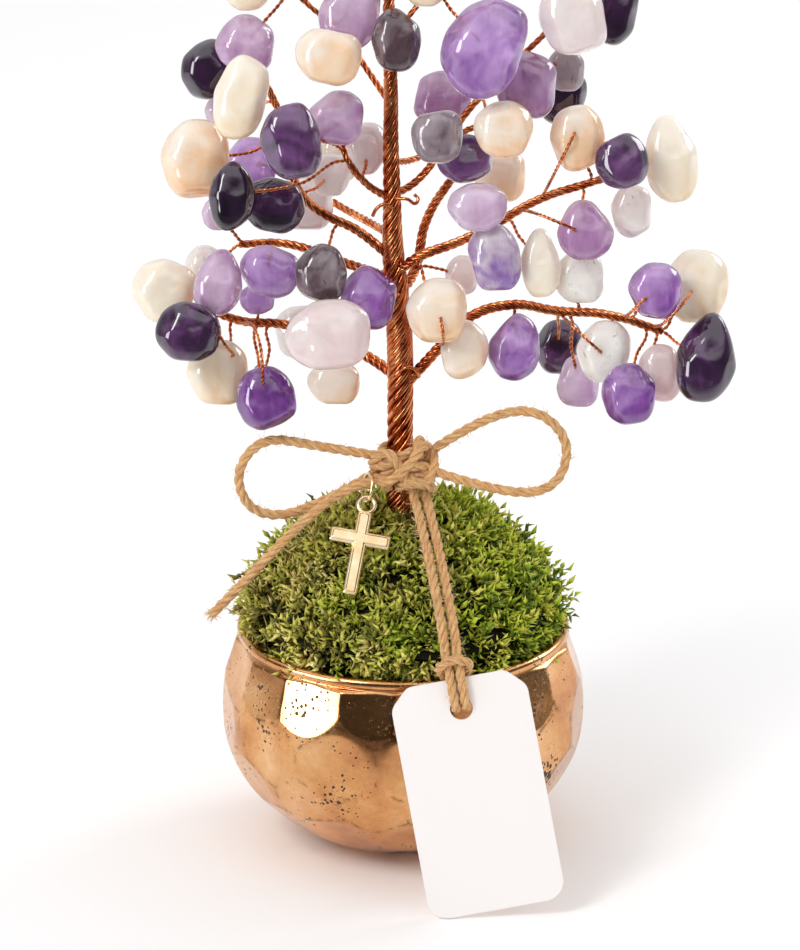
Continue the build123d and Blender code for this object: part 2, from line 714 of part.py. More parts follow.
def save(name, shapes):
    solids = [solid for shape in shapes for solid in shape.solids()]
    for solid in solids:
        if not solid.is_valid:
            print("not valid:", name)
    shape = solids[0] if len(solids) == 1 else Compound(children=solids)
    export_step(shape, f"parts/{name}.step")
    print(name, len(solids), "solids", round(sum(solid.volume for solid in solids)), "mm3")


# Cords and the knot
routes = {}
for name, points in (("bow_loop_left", left_loop_route), ("bow_loop_right", right_loop_route),
                     ("bow_tail", tail_route), ("tag_cord_left", tag_cord_left_route),
                     ("tag_cord_right", tag_cord_right_route)):
    route, radii = cord_route(points)
    routes[name] = route
    print_cord(name, route, radii)
    save(name, [tube(route, twine_radius)])

trunk_points = [photo_point(across, down, 0) for across, down in trunk_pixels]
trunk = Spline(Vector(0, 0, trunk_foot_height), *trunk_points)
knot_share = trunk_at(trunk, knot_place[2])
save("bow_knot", make_knot(routes.values(), trunk @ knot_share))

# Branches, then the stones among them
branches = [Branch(name, pixels, trunk) for name, pixels in branch_routes.items()]
trunk_beads = beads(trunk, trunk_radius_at, bead_spacing)
for branch in branches:
    branch.beads = beads(branch.route, branch.radius_at, bead_spacing)
    count = len(branch.beads) - 1
    branch.tangents = [tuple(branch.route % (step / count)) for step in range(count + 1)]
for branch in branches:
    branch.others = [bead for other in branches if other is not branch for bead in other.beads]
cord_beads = []
for route in routes.values():
    cord_beads += beads(route, lambda share: twine_radius, bead_spacing)
wire_beads = trunk_beads + [bead for branch in branches for bead in branch.beads]
pebbles = [Stone(row) for row in stones]
settle(pebbles, wire_beads + cord_beads)
stems = []
for stone in sorted(pebbles, key=lambda stone: -abs(stone.across)):
    if not find_stem(stone, pebbles, branches, stems, trunk_beads + cord_beads):
        print("no clear stem:", stone.kind, stone.cut, [round(part, 1) for part in stone.centre()])
depths = [round(stone.depth, 1) for stone in pebbles]
print("depths", min(depths), max(depths))

for kind in sorted({stone.kind for stone in pebbles}):
    save("stones_" + kind, [stone.solid() for stone in pebbles if stone.kind == kind])
for branch in branches:
    save(branch.name, [branch.rope()] + [hex_rod(*stone.stem, stem_radius) for stone in branch.stems])

# Trunk, with a socket for each branch, standing in the compound and through the moss
trunk_rope = twisted_rope(trunk, trunk_radius_at, trunk_wires, valley_share, trunk_lay, trunk_stations)
for branch in branches:
    trunk_rope -= branch.socket
save("trunk", [trunk_rope])
foot = trunk @ 0
hole_foot = Vector(foot.X, foot.Y, foot.Z - trunk_foot_gap)
hole_top = trunk @ trunk_at(trunk, fill_height + moss_height + cut_over)
trunk_hole = hex_rod(hole_foot, hole_top, (trunk_radius + trunk_hole_gap) / math.cos(math.pi / 6))
save("moss_mound", [make_moss(trunk_hole)])
save("planting_compound", [make_compound() - trunk_hole])
save("bowl", [make_bowl()])

# Tag, hitch, ring and charm
save("tag", [make_tag()])
save("tag_hitch", make_hitch())
save("jump_ring", [make_jump_ring()])
save("cross_charm", [make_charm()])
for name, place, axis in (("tag", collar_centre, tag_frame.x_dir), ("ring", ring_hinge, Vector(1, 0, 0)),
                          ("charm", charm_hinge, charm_axis)):
    print(name, "hinge", [round(part, 6) for part in place], "axis", [round(part, 6) for part in axis])
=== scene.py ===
import json
import math
import random

import bmesh
import bpy
import numpy as np
from mathutils import Matrix, Vector
from mathutils.bvhtree import BVHTree

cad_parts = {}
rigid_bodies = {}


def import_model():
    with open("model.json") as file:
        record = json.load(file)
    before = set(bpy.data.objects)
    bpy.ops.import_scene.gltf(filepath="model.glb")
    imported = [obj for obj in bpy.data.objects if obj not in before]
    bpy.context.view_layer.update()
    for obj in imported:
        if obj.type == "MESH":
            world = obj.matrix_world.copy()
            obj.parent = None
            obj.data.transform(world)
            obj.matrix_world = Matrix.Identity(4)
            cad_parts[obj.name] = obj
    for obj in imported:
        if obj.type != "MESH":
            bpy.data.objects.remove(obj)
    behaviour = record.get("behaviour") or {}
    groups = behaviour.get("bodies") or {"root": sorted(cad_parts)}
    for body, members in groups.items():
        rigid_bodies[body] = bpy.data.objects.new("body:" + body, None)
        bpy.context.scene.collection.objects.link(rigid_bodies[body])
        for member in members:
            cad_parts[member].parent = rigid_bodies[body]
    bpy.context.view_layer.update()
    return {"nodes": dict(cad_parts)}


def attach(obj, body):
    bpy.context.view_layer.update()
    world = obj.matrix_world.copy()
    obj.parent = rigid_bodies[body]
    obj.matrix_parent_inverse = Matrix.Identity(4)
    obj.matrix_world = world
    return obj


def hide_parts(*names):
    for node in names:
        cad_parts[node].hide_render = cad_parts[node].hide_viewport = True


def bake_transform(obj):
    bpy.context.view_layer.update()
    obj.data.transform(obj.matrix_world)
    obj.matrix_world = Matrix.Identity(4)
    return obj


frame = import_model()

mm = 0.001
photo = {"pixel": 0.2 * mm, "footPixel": (403, 834), "tilt": math.radians(20), "width": 800, "height": 950}


def photoPoint(across, down, depth=0.0):  # pixels of the photograph and metres behind the trunk
    rise = (photo["footPixel"][1] - down) * photo["pixel"]
    x = (across - photo["footPixel"][0]) * photo["pixel"]
    return Vector((x, depth, (rise - depth * math.sin(photo["tilt"])) / math.cos(photo["tilt"])))


def photoPixel(point):  # where a point lies in the photograph
    rise = point[2] * math.cos(photo["tilt"]) + point[1] * math.sin(photo["tilt"])
    return photo["footPixel"][0] + point[0] / photo["pixel"], photo["footPixel"][1] - rise / photo["pixel"]


photoMiddle = photoPoint(photo["width"] / 2, photo["height"] / 2)


# Node trees: a wire holds a socket and takes part in sums
class Wire:
    def __init__(self, tree, node, output):
        self.tree = tree
        self.node = node
        self.socket = node.outputs[output]

    def other(self, output):
        return Wire(self.tree, self.node, output)

    def __add__(self, value):
        return self.tree.maths("ADD", self, value)

    def __radd__(self, value):
        return self.tree.maths("ADD", value, self)

    def __sub__(self, value):
        return self.tree.maths("SUBTRACT", self, value)

    def __rsub__(self, value):
        return self.tree.maths("SUBTRACT", value, self)

    def __mul__(self, value):
        return self.tree.maths("MULTIPLY", self, value)

    def __rmul__(self, value):
        return self.tree.maths("MULTIPLY", value, self)

    def __truediv__(self, value):
        return self.tree.maths("DIVIDE", self, value)

    def __rtruediv__(self, value):
        return self.tree.maths("DIVIDE", value, self)


class NodeTree:
    def __init__(self, tree):
        self.tree = tree

    def node(self, kind, settings=None, inputs=None, output=0):
        made = self.tree.nodes.new(kind)
        for name, value in (settings or {}).items():
            if name == "stops":
                setStops(made.color_ramp, value)
            else:
                setattr(made, name, value)
        for name, value in (inputs or {}).items():
            if isinstance(value, Wire):
                self.tree.links.new(value.socket, made.inputs[name])
            else:
                made.inputs[name].default_value = value
        return Wire(self, made, output) if made.outputs else made

    def maths(self, operation, first, second=0.0):
        return self.node("ShaderNodeMath", {"operation": operation}, {0: first, 1: second})

    def mix(self, factor, first, second, blend="MIX"):
        return self.node("ShaderNodeMix", {"data_type": "RGBA", "blend_type": blend},
                         {0: factor, 6: first, 7: second}, 2)

    def ramp(self, factor, stops):
        return self.node("ShaderNodeValToRGB", {"stops": stops}, {0: factor})

    def remap(self, value, low, high, start=0.0, end=1.0):  # low to high becomes start to end
        return self.node("ShaderNodeMapRange", {}, {0: value, 1: low, 2: high, 3: start, 4: end})

    def vector(self, operation, first, second):
        return self.node("ShaderNodeVectorMath", {"operation": operation}, {0: first, 1: second})

    def measure(self, operation, first, second):
        return self.vector(operation, first, second).other("Value")

    def scaled(self, vector, size):
        return self.node("ShaderNodeVectorMath", {"operation": "SCALE"}, {0: vector, "Scale": size})

    def stretched(self, place, scale):
        return self.node("ShaderNodeMapping", {}, {"Vector": place, "Scale": scale})

    def combined(self, x=0.0, y=0.0, z=0.0):
        return self.node("ShaderNodeCombineXYZ", {}, {0: x, 1: y, 2: z})

    def attribute(self, name):
        return self.node("ShaderNodeAttribute", {"attribute_name": name}, {}, "Fac")

    def noise(self, place, scale, detail=3.0, roughness=0.5, distortion=0.0):
        return self.node("ShaderNodeTexNoise", {}, {"Vector": place, "Scale": scale, "Detail": detail,
                                                    "Roughness": roughness, "Distortion": distortion})

    def bump(self, height, strength, distance):
        return self.node("ShaderNodeBump", {}, {"Strength": strength, "Distance": distance, "Height": height})


def setStops(ramp, stops):
    while len(ramp.elements) > 1:
        ramp.elements.remove(ramp.elements[-1])
    for count, (place, colour) in enumerate(stops):
        element = ramp.elements[0] if count == 0 else ramp.elements.new(place)
        element.position = place
        element.color = (*colour, 1.0)


def newMaterial(name):
    made = bpy.data.materials.new(name)
    made.use_nodes = True
    made.node_tree.nodes.clear()
    return made, NodeTree(made.node_tree)


def finishMaterial(tree, look):
    shader = tree.node("ShaderNodeBsdfPrincipled", {}, look)
    tree.node("ShaderNodeOutputMaterial", {}, {"Surface": shader})


def coords(tree):  # the piece's own coordinates, in millimetres
    place = tree.node("ShaderNodeTexCoord", {}, {}, "Object")
    return tree.stretched(place, (1 / mm, 1 / mm, 1 / mm))


# Camera at the photograph's angle
cameraPlan = {"distance": 1.4, "sensor": 36.0, "elevation": math.radians(20)}


def makeCamera(plan):
    back = Vector((0, -math.cos(plan["elevation"]), math.sin(plan["elevation"])))
    data = bpy.data.cameras.new("photoCamera")
    data.sensor_width = plan["sensor"]
    data.lens = plan["sensor"] * plan["distance"] / (photo["height"] * photo["pixel"])
    camera = bpy.data.objects.new("photoCamera", data)
    bpy.context.scene.collection.objects.link(camera)
    camera.location = photoMiddle + back * plan["distance"]
    camera.rotation_euler = (math.pi / 2 - plan["elevation"], 0, 0)
    bpy.context.scene.camera = camera


makeCamera(cameraPlan)
print("camera ready")


# Pieces
def linkMesh(name, mesh, material=None, smooth=True):
    piece = bpy.data.objects.new(name, mesh)
    bpy.context.scene.collection.objects.link(piece)
    if material:
        mesh.materials.clear()
        mesh.materials.append(material)
    if smooth:
        mesh.shade_smooth()
    return piece


def meshFrom(name, points, faces):
    mesh = bpy.data.meshes.new(name)
    mesh.from_pydata([tuple(point) for point in points], [], faces)
    mesh.update()
    return mesh


def addMark(mesh, name, values):  # a number at each point, for the material
    mark = mesh.attributes.new(name, "FLOAT", "POINT")
    mark.data.foreach_set("value", np.array(values, np.float32))


def evaluatedMesh(piece):
    graph = bpy.context.evaluated_depsgraph_get()
    return bpy.data.meshes.new_from_object(piece.evaluated_get(graph))


def plainMesh(piece, name, material):  # the evaluated object as a plain mesh piece
    mesh = evaluatedMesh(piece)
    old = piece.data
    bpy.data.objects.remove(piece)
    if isinstance(old, bpy.types.Curve):
        bpy.data.curves.remove(old)
    return linkMesh(name, mesh, material)


def joinPieces(name, pieces, material):
    work = bmesh.new()
    for piece in pieces:
        work.from_mesh(piece.data)
    mesh = bpy.data.meshes.new(name)
    work.to_mesh(mesh)
    work.free()
    for piece in pieces:
        bpy.data.objects.remove(piece)
    return linkMesh(name, mesh, material)


def dress(piece, body, node=None):  # rides its body, and stands for a node of the frame
    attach(piece, body)
    if node:
        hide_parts(node)


def mergedNode(name):  # a merged copy of a node's mesh
    work = bmesh.new()
    work.from_mesh(frame["nodes"][name].data)
    bmesh.ops.remove_doubles(work, verts=work.verts, dist=0.002 * mm)
    return work


def nodeParts(name):  # the points of each solid of a node
    work = mergedNode(name)
    work.verts.ensure_lookup_table()
    seen, parts = set(), []
    for first in work.verts:
        if first.index in seen:
            continue
        seen.add(first.index)
        island, queue = [], [first]
        while queue:
            vert = queue.pop()
            island.append(vert)
            for edge in vert.link_edges:
                near = edge.other_vert(vert)
                if near.index not in seen:
                    seen.add(near.index)
                    queue.append(near)
        parts.append([vert.co.copy() for vert in island])
    work.free()
    return parts


# Curves
def newCurve(name):
    curve = bpy.data.curves.new(name, "CURVE")
    curve.dimensions = "3D"
    made = bpy.data.objects.new(name, curve)
    bpy.context.scene.collection.objects.link(made)
    return made


def splineObject(name, routes, kind="POLY"):
    made = newCurve(name)
    for route in routes:
        spline = made.data.splines.new(kind)
        spline.points.add(len(route) - 1)
        for point, place in zip(spline.points, route):
            point.co = (*place, 1.0)
        if kind == "NURBS":
            spline.order_u = 3
            spline.use_endpoint_u = True
            spline.resolution_u = 12
    return made


def linePoints(made):  # the points of an evaluated curve, which isn't kept
    mesh = evaluatedMesh(made)
    points = [vertex.co.copy() for vertex in mesh.vertices]
    bpy.data.objects.remove(made)
    bpy.data.meshes.remove(mesh)
    return points


def smoothLine(points):  # points of a smooth curve through the given ones
    made = newCurve("smoothLine")
    spline = made.data.splines.new("BEZIER")
    spline.bezier_points.add(len(points) - 1)
    for knot, place in zip(spline.bezier_points, points):
        knot.co = place
        knot.handle_left_type = knot.handle_right_type = "AUTO"
    spline.resolution_u = 14
    return linePoints(made)


# Geometry node trees
def newGeometryTree(name, inputs):
    group = bpy.data.node_groups.new(name, "GeometryNodeTree")
    for way in ("INPUT", "OUTPUT"):
        group.interface.new_socket(name="Geometry", in_out=way, socket_type="NodeSocketGeometry")
    for label, (kind, value) in inputs.items():
        made = group.interface.new_socket(name=label, in_out="INPUT", socket_type="NodeSocket" + kind)
        if value is not None:
            made.default_value = value
    tree = NodeTree(group)
    return group, tree, tree.node("NodeGroupInput")


def storeMark(tree, shape, name, value, domain="POINT"):
    return tree.node("GeometryNodeStoreNamedAttribute", {"data_type": "FLOAT", "domain": domain},
                     {"Geometry": shape, "Name": name, "Value": value})


def finishGeometry(tree, given, shape):
    real = tree.node("GeometryNodeRealizeInstances", {}, {"Geometry": shape})
    done = tree.node("GeometryNodeSetMaterial", {}, {"Geometry": real, "Material": given.other("Material")})
    tree.node("NodeGroupOutput", {}, {"Geometry": done})


def addNodes(piece, group, values):  # a modifier with its inputs set by their identifiers
    modifier = piece.modifiers.new("nodes", "NODES")
    modifier.node_group = group
    sockets = {item.name: item.identifier for item in group.interface.items_tree if item.in_out == "INPUT"}
    for name, value in values.items():
        modifier[sockets[name]] = value
    bpy.context.view_layer.update()


# Rope: strands wound round each route
ropeInputs = {"Strands": ("Int", 3), "Strand Offset": ("Float", 0.5 * mm),
              "Strand Radius": ("Float", 0.5 * mm), "Lay": ("Float", 7 * mm), "Sides": ("Int", 8),
              "Spacing": ("Float", 0.5 * mm),
              "Phase": ("Float", 0.0), "Material": ("Material", None)}


def resampled(tree, curve, given):
    return tree.node("GeometryNodeResampleCurve", {"mode": "LENGTH"},
                     {"Curve": curve, "Length": given.other("Spacing")})


def woundStrands(tree, given):
    copies = tree.node("GeometryNodeDuplicateElements", {"domain": "SPLINE"},
                       {"Geometry": given, "Amount": given.other("Strands")})
    turn = tree.node("GeometryNodeCaptureAttribute", {"domain": "CURVE"}, {"Geometry": copies})
    turn.node.capture_items.new("FLOAT", "turn")
    tree.tree.links.new(copies.other("Duplicate Index").socket, turn.node.inputs["turn"])
    along = tree.node("GeometryNodeSplineParameter", {}, {}, "Length")
    angle = turn.other("turn") * (2 * math.pi) / given.other("Strands")
    angle = angle + along * (2 * math.pi) / given.other("Lay") + given.other("Phase")
    normal = tree.node("GeometryNodeInputNormal")
    side = tree.vector("CROSS_PRODUCT", tree.node("GeometryNodeInputTangent"), normal)
    reach = tree.node("GeometryNodeInputRadius") * given.other("Strand Offset")
    shift = tree.vector("ADD", tree.scaled(normal, reach * tree.maths("COSINE", angle)),
                        tree.scaled(side, reach * tree.maths("SINE", angle)))
    wound = tree.node("GeometryNodeSetPosition", {},
                      {"Geometry": resampled(tree, turn, given), "Offset": shift})
    return resampled(tree, wound, given)


def makeRopeTree(name):
    group, tree, given = newGeometryTree(name, ropeInputs)
    along = tree.node("GeometryNodeSplineParameter", {}, {}, "Length")
    strands = storeMark(tree, woundStrands(tree, given), "along", along)
    ring = tree.node("GeometryNodeCurvePrimitiveCircle", {"mode": "RADIUS"},
                     {"Resolution": given.other("Sides"), "Radius": given.other("Strand Radius")})
    around = storeMark(tree, ring, "around", tree.node("GeometryNodeSplineParameter", {}, {}, "Factor"))
    skin = tree.node("GeometryNodeCurveToMesh", {},
                     {"Curve": strands, "Profile Curve": around, "Fill Caps": True})
    if "Scale" in skin.node.inputs:
        tree.tree.links.new(tree.node("GeometryNodeInputRadius").socket, skin.node.inputs["Scale"])
    finishGeometry(tree, given, skin)
    return group


def windRope(name, routes, rope, material, girths=None):
    line = splineObject(name + "Line", routes)
    for spline, girth in zip(line.data.splines, girths or []):
        for point, size in zip(spline.points, girth):
            point.radius = size
    addNodes(line, ropeGroup, {**rope, "Material": material})
    return plainMesh(line, name, material)


ropeGroup = makeRopeTree("woundRope")
print("rope tree ready")


# Twine: routes in millimetres, as the part has them
twineRoutes = {
    "bow_loop_left": ((-4.8, -7.6, 83.2), (-17, -9, 85.8), (-28.2, -10, 88.3), (-33.8, -10.5, 80),
                      (-29.6, -10, 71.1), (-18.2, -8.5, 71.8), (-4.6, -5.6, 79.6)),
    "bow_loop_right": ((5, -7.8, 83.9), (13.4, -9.2, 90.6), (25.4, -10.4, 94.9), (33.4, -11.6, 88.1),
                       (30.6, -12.4, 77.7), (19.4, -12.2, 76.8), (5, -10.4, 81.4)),
    "bow_tail": ((-4.4, -10, 79.3), (-11.8, -11.8, 77.9), (-20.6, -13, 70.7), (-28.2, -12, 62),
                 (-38.2, -10, 50.4)),
    "tag_cord_left": ((1.8, -10.2, 77.4), (4, -17.4, 71), (6, -25.2, 63.4), (7.5, -30.6, 57),
                      (8.3, -34, 51.5)),
    "tag_cord_right": ((4.1, -9.4, 77.2), (6.3, -16.6, 70.8), (8.3, -24.4, 63.2), (9.8, -29.8, 56.8),
                       (10.6, -33.3, 51.5)),
}
twineRope = {"Strands": 3, "Strand Offset": 0.52 * mm, "Strand Radius": 0.5 * mm, "Lay": 7 * mm, "Sides": 10,
             "Spacing": 0.4 * mm, "Phase": 0.0}
twine = {"diameter": 2 * mm, "bendShare": 0.8, "ringPlace": (-7.064 * mm, -10.648 * mm, 78.796 * mm),
         "ringRoom": 5 * mm}
hairPlan = {"thickness": 0.055 * mm, "steps": 3, "bend": 0.42}
fuzzPlan = {"length": 2.2 * mm, "lengthShares": (0.25, 1.0), "rootShare": 0.75, "lean": (0.4, 2.2)}
frayPlan = {"count": 70, "length": 3.2 * mm, "lengthShares": (0.4, 1.0), "width": 0.8 * mm,
            "back": (0.2 * mm, 1.2 * mm), "onward": 1.6, "spread": 0.9}
hairsPerPoint = {"bow_loop_left": 2.6, "bow_loop_right": 2.6, "bow_tail": 3.2, "tag_cord_left": 5,
                 "tag_cord_right": 5}


def makeTwineMaterial():
    material, tree = newMaterial("juteTwine")
    along, around = tree.attribute("along"), tree.attribute("around")
    fibre = tree.noise(tree.combined(along * (0.45 / mm), around * 9.0), 1.0, 4.0, 0.65, 0.4)
    strands = tree.noise(tree.combined(along * (1.1 / mm), around * 26.0, 3.0), 1.0, 3.0, 0.6, 0.6)
    patch = tree.noise(coords(tree), 0.28, 2.0)
    tone = tree.ramp(fibre * 0.75 + strands * 0.45 - 0.08, (
        (0.26, (0.24, 0.1, 0.035)), (0.4, (0.5, 0.25, 0.1)), (0.53, (0.73, 0.44, 0.21)),
        (0.7, (0.92, 0.66, 0.38))))
    finishMaterial(tree, {
        "Base Color": tree.mix(patch * 0.5, tone, (0.8, 0.52, 0.28, 1), "OVERLAY"), "Roughness": 0.85,
        "Specular IOR Level": 0.25, "Sheen Weight": 0.35, "Sheen Roughness": 0.5,
        "Sheen Tint": (1.0, 0.86, 0.66, 1.0), "Normal": tree.bump(fibre + strands * 0.8, 0.9, 0.22 * mm)})
    return material


def makeFuzzMaterial():
    material, tree = newMaterial("juteFibre")
    tone = tree.noise(coords(tree), 1.3, 1.0)
    finishMaterial(tree, {"Base Color": tree.mix(tone, (0.45, 0.26, 0.12, 1), (0.92, 0.7, 0.44, 1)),
                          "Roughness": 0.8})
    return material


def hairPoints(start, way, length, rng):  # a bent hair that ends loose
    points = [start]
    for _ in range(hairPlan["steps"]):
        way = (way + Vector([rng.gauss(0, hairPlan["bend"]) for _ in range(3)])).normalized()
        points.append(points[-1] + way * length / hairPlan["steps"])
    return points


def hairMesh(name, hairs):  # each hair is a thin three-sided spike
    points, faces = [], []
    for hair in hairs:
        first = len(points)
        axis = (hair[-1] - hair[0]).normalized()
        side = axis.orthogonal().normalized()
        over = axis.cross(side)
        for place in hair[:-1]:
            for corner in range(3):
                turn = 2 * math.pi * corner / 3
                out = side * math.cos(turn) + over * math.sin(turn)
                points.append(place + out * hairPlan["thickness"])
        points.append(hair[-1])
        for ring in range(len(hair) - 2):
            for corner in range(3):
                low = first + 3 * ring
                after = (corner + 1) % 3
                faces.append((low + corner, low + after, low + 3 + after, low + 3 + corner))
        last = first + 3 * (len(hair) - 2)
        faces += [(last + corner, last + (corner + 1) % 3, len(points) - 1) for corner in range(3)]
        faces.append((first + 2, first + 1, first))
    return linkMesh(name, meshFrom(name, points, faces), fuzzMaterial, smooth=False)


def fuzzHairs(points, count, rng):
    hairs = []
    for _ in range(count):
        spot = rng.randrange(len(points) - 1)
        along = (points[spot + 1] - points[spot]).normalized()
        turn = rng.uniform(0, 2 * math.pi)
        side = along.orthogonal().normalized()
        out = side * math.cos(turn) + along.cross(side) * math.sin(turn)
        root = out * twine["diameter"] / 2 * fuzzPlan["rootShare"]
        start = points[spot].lerp(points[spot + 1], rng.random()) + root
        lean = rng.choice((-1, 1)) * rng.uniform(*fuzzPlan["lean"])
        way = (out + along * lean).normalized()
        hairs.append(hairPoints(start, way, fuzzPlan["length"] * rng.uniform(*fuzzPlan["lengthShares"]), rng))
    return hairs


def frayHairs(points, rng):  # loose fibres at a cut end
    way = (points[-1] - points[-4]).normalized()
    hairs = []
    for _ in range(frayPlan["count"]):
        side = way.cross(Vector([rng.gauss(0, 1) for _ in range(3)])).normalized()
        start = points[-1] + side * rng.uniform(0, frayPlan["width"]) - way * rng.uniform(*frayPlan["back"])
        out = (way * frayPlan["onward"] + side * rng.uniform(0, frayPlan["spread"])).normalized()
        hairs.append(hairPoints(start, out, frayPlan["length"] * rng.uniform(*frayPlan["lengthShares"]), rng))
    return hairs


def clearOfRing(hair):
    return min((place - Vector(twine["ringPlace"])).length for place in hair) > twine["ringRoom"]


def makeTwine(name, seed):
    route = [Vector(point) * mm for point in twineRoutes[name]]
    points = linePoints(splineObject("routeLine", [route], "NURBS"))
    piece = windRope(name + "_twine", [points], twineRope, twineMaterial)
    rng = random.Random(seed)
    hairs = fuzzHairs(points, round(len(points) * hairsPerPoint[name]), rng)
    if name == "bow_tail":
        hairs = [hair for hair in hairs if clearOfRing(hair)] + frayHairs(points, rng)
    return piece, hairMesh(name + "_fuzz", hairs), points


twineMaterial = makeTwineMaterial()
fuzzMaterial = makeFuzzMaterial()
for seed, name in enumerate(twineRoutes):
    piece, fuzz, points = makeTwine(name, seed)
    for part in (piece, fuzz):
        if name.startswith("tag_cord"):
            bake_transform(part)
        else:
            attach(part, "tree")
    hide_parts(name)
print("twine ready")


# Bowl: planished flats under a rolled rim
bowl = {"height": 45 * mm, "rim": 33.5 * mm, "belly": 36.5 * mm, "bellyHeight": 26.5 * mm,
        "foot": 13 * mm, "wall": 2.4 * mm, "neckHeight": 42.6 * mm, "neck": 32.9 * mm,
        "neckBlend": 42.1 * mm, "inner": 31 * mm, "innerRows": 14, "columns": 420, "rows": 130}
hammer = {"seed": 5, "turnShift": 0.16, "riseShift": 0.024, "sinkShares": (0.6, 1.15),
          "leanSpread": math.radians(1.5), "edge": 0.05 * mm, "ridge": 0.12 * mm, "ripple": 0.035 * mm,
          "rippleTurns": (9, 14), "rippleRises": (0.35, 0.6),
          "rimWaves": ((0.05 * mm, 5, 1), (0.04 * mm, 9, 0))}
markRows = (  # height as a share of the neck's, flats, first turn in flats, depth and extra lean of each row
    (0.03, 12, 0.0, 0.5 * mm, 0.0), (0.2, 14, 0.5, 0.6 * mm, 0.0),
    (0.39, 14, 0.1, 0.62 * mm, math.radians(1)), (0.6, 14, 0.6, 0.66 * mm, math.radians(2)),
    (0.87, 18, 0.9, 0.9 * mm, math.radians(7)))
pitPatches = (((-19, -27, 37), 8), ((-27, -20, 33), 9), ((-14, -33, 20), 7), ((26, -22, 34), 8),
              ((30, -18, 20), 7), ((-25, 22, 24), 9), ((18, 30, 30), 9))
rimProfile = ((32.75, 42.75), (32.8, 43.0), (33.2, 43.12), (33.46, 43.5), (33.5, 43.9), (33.44, 44.4),
              (33.15, 44.8), (32.7, 45.0), (32.2, 45.0), (31.7, 44.85), (31.3, 44.5), (31.1, 44.0),
              (31.1, 43.2))


def bowlRadius(height):
    low = bowl["bellyHeight"] / math.sqrt(1 - (bowl["foot"] / bowl["belly"]) ** 2)
    top = (bowl["height"] - bowl["bellyHeight"]) / math.sqrt(1 - (bowl["rim"] / bowl["belly"]) ** 2)
    half = np.where(height > bowl["bellyHeight"], top, low)
    return bowl["belly"] * np.sqrt(np.maximum(0, 1 - ((height - bowl["bellyHeight"]) / half) ** 2))


def planeReach(distance, facing, beyond):  # how far out a plane lies, and beyond for ways that miss it
    least = 0.05
    return np.where(facing > least, distance / np.maximum(facing, least), beyond)


def flatReach(row, mark, turns, heights, rng):  # how far out one hammered flat lies along each ray
    share, marks, phase, sink, lean = row
    turn = 2 * math.pi * (mark + phase + rng.uniform(-1, 1) * hammer["turnShift"]) / marks
    height = bowl["neckHeight"] * (share + rng.uniform(-1, 1) * hammer["riseShift"])
    step = 0.01 * mm
    slope = float(bowlRadius(height + step) - bowlRadius(height - step)) / (2 * step)
    slope = math.tan(math.atan(slope) - lean - rng.uniform(-1, 1) * hammer["leanSpread"])
    out = 1 / math.hypot(1, slope)
    flat = float(bowlRadius(height)) * out - slope * out * height - sink * rng.uniform(*hammer["sinkShares"])
    facing = out * np.cos(turns - turn)[None, :]
    wave = np.sin(turns * rng.uniform(*hammer["rippleTurns"]) + rng.uniform(0, 6))[None, :]
    rise = np.sin(heights * rng.uniform(*hammer["rippleRises"]) / mm + rng.uniform(0, 6))[:, None]
    reach = flat + slope * out * heights[:, None] + hammer["ripple"] * wave * rise
    return planeReach(reach, facing, 1.0)


def hammeredRadii(turns, heights):  # distance to the nearest flat along each ray, and how near its edge is
    rng = random.Random(hammer["seed"])
    flats = [(row, mark) for row in markRows for mark in range(row[1])]
    reaches = np.array([flatReach(row, mark, turns, heights, rng) for row, mark in flats])
    nearest, second = np.partition(reaches, 1, axis=0)[:2]
    radii = nearest - hammer["edge"] * np.log(np.exp((nearest - reaches) / hammer["edge"]).sum(0))
    return np.minimum(radii, bowlRadius(heights)[:, None]), np.exp((nearest - second) / hammer["ridge"])


def latheMesh(name, rows):  # rings of points, closed at both ends
    columns = len(rows[0])
    points = [point for row in rows for point in row]
    faces = []
    for row in range(len(rows) - 1):
        for column in range(columns):
            after = (column + 1) % columns
            low, high = row * columns, (row + 1) * columns
            faces.append((low + column, low + after, high + after, high + column))
    last = (len(rows) - 1) * columns
    faces.append(tuple(reversed(range(columns))))
    faces.append(tuple(range(last, last + columns)))
    return meshFrom(name, points, faces)


def makeBowlMesh():
    turns = np.linspace(0, 2 * math.pi, bowl["columns"], endpoint=False)
    heights = np.linspace(0, bowl["neckHeight"], bowl["rows"])
    radii, edges = hammeredRadii(turns, heights)
    rise = np.clip((heights - bowl["neckBlend"]) / (bowl["neckHeight"] - bowl["neckBlend"]), 0, 1)
    blend = rise[:, None] ** 2
    radii = radii * (1 - blend) + bowl["neck"] * blend
    profile = [(radii[row], heights[row], edges[row] * (1 - blend[row, 0])) for row in range(bowl["rows"])]
    wobble = sum(size * np.sin(turns * waves + start) for size, waves, start in hammer["rimWaves"])
    profile += [(radius * mm + wobble, height * mm, turns * 0) for radius, height in rimProfile]
    for share in np.linspace(1, 0.06, bowl["innerRows"]):
        height = bowl["neckHeight"] * share
        radius = float(bowlRadius(height)) - bowl["wall"]
        profile.append((turns * 0 + min(radius, bowl["inner"]), height, turns * 0))
    rows = [[(radius * math.cos(turn), radius * math.sin(turn), height) for radius, turn in zip(ring, turns)]
            for ring, height, _ in profile]
    mesh = latheMesh("bowlMesh", rows)
    addMark(mesh, "ridge", np.concatenate([edge for _, _, edge in profile]))
    return mesh


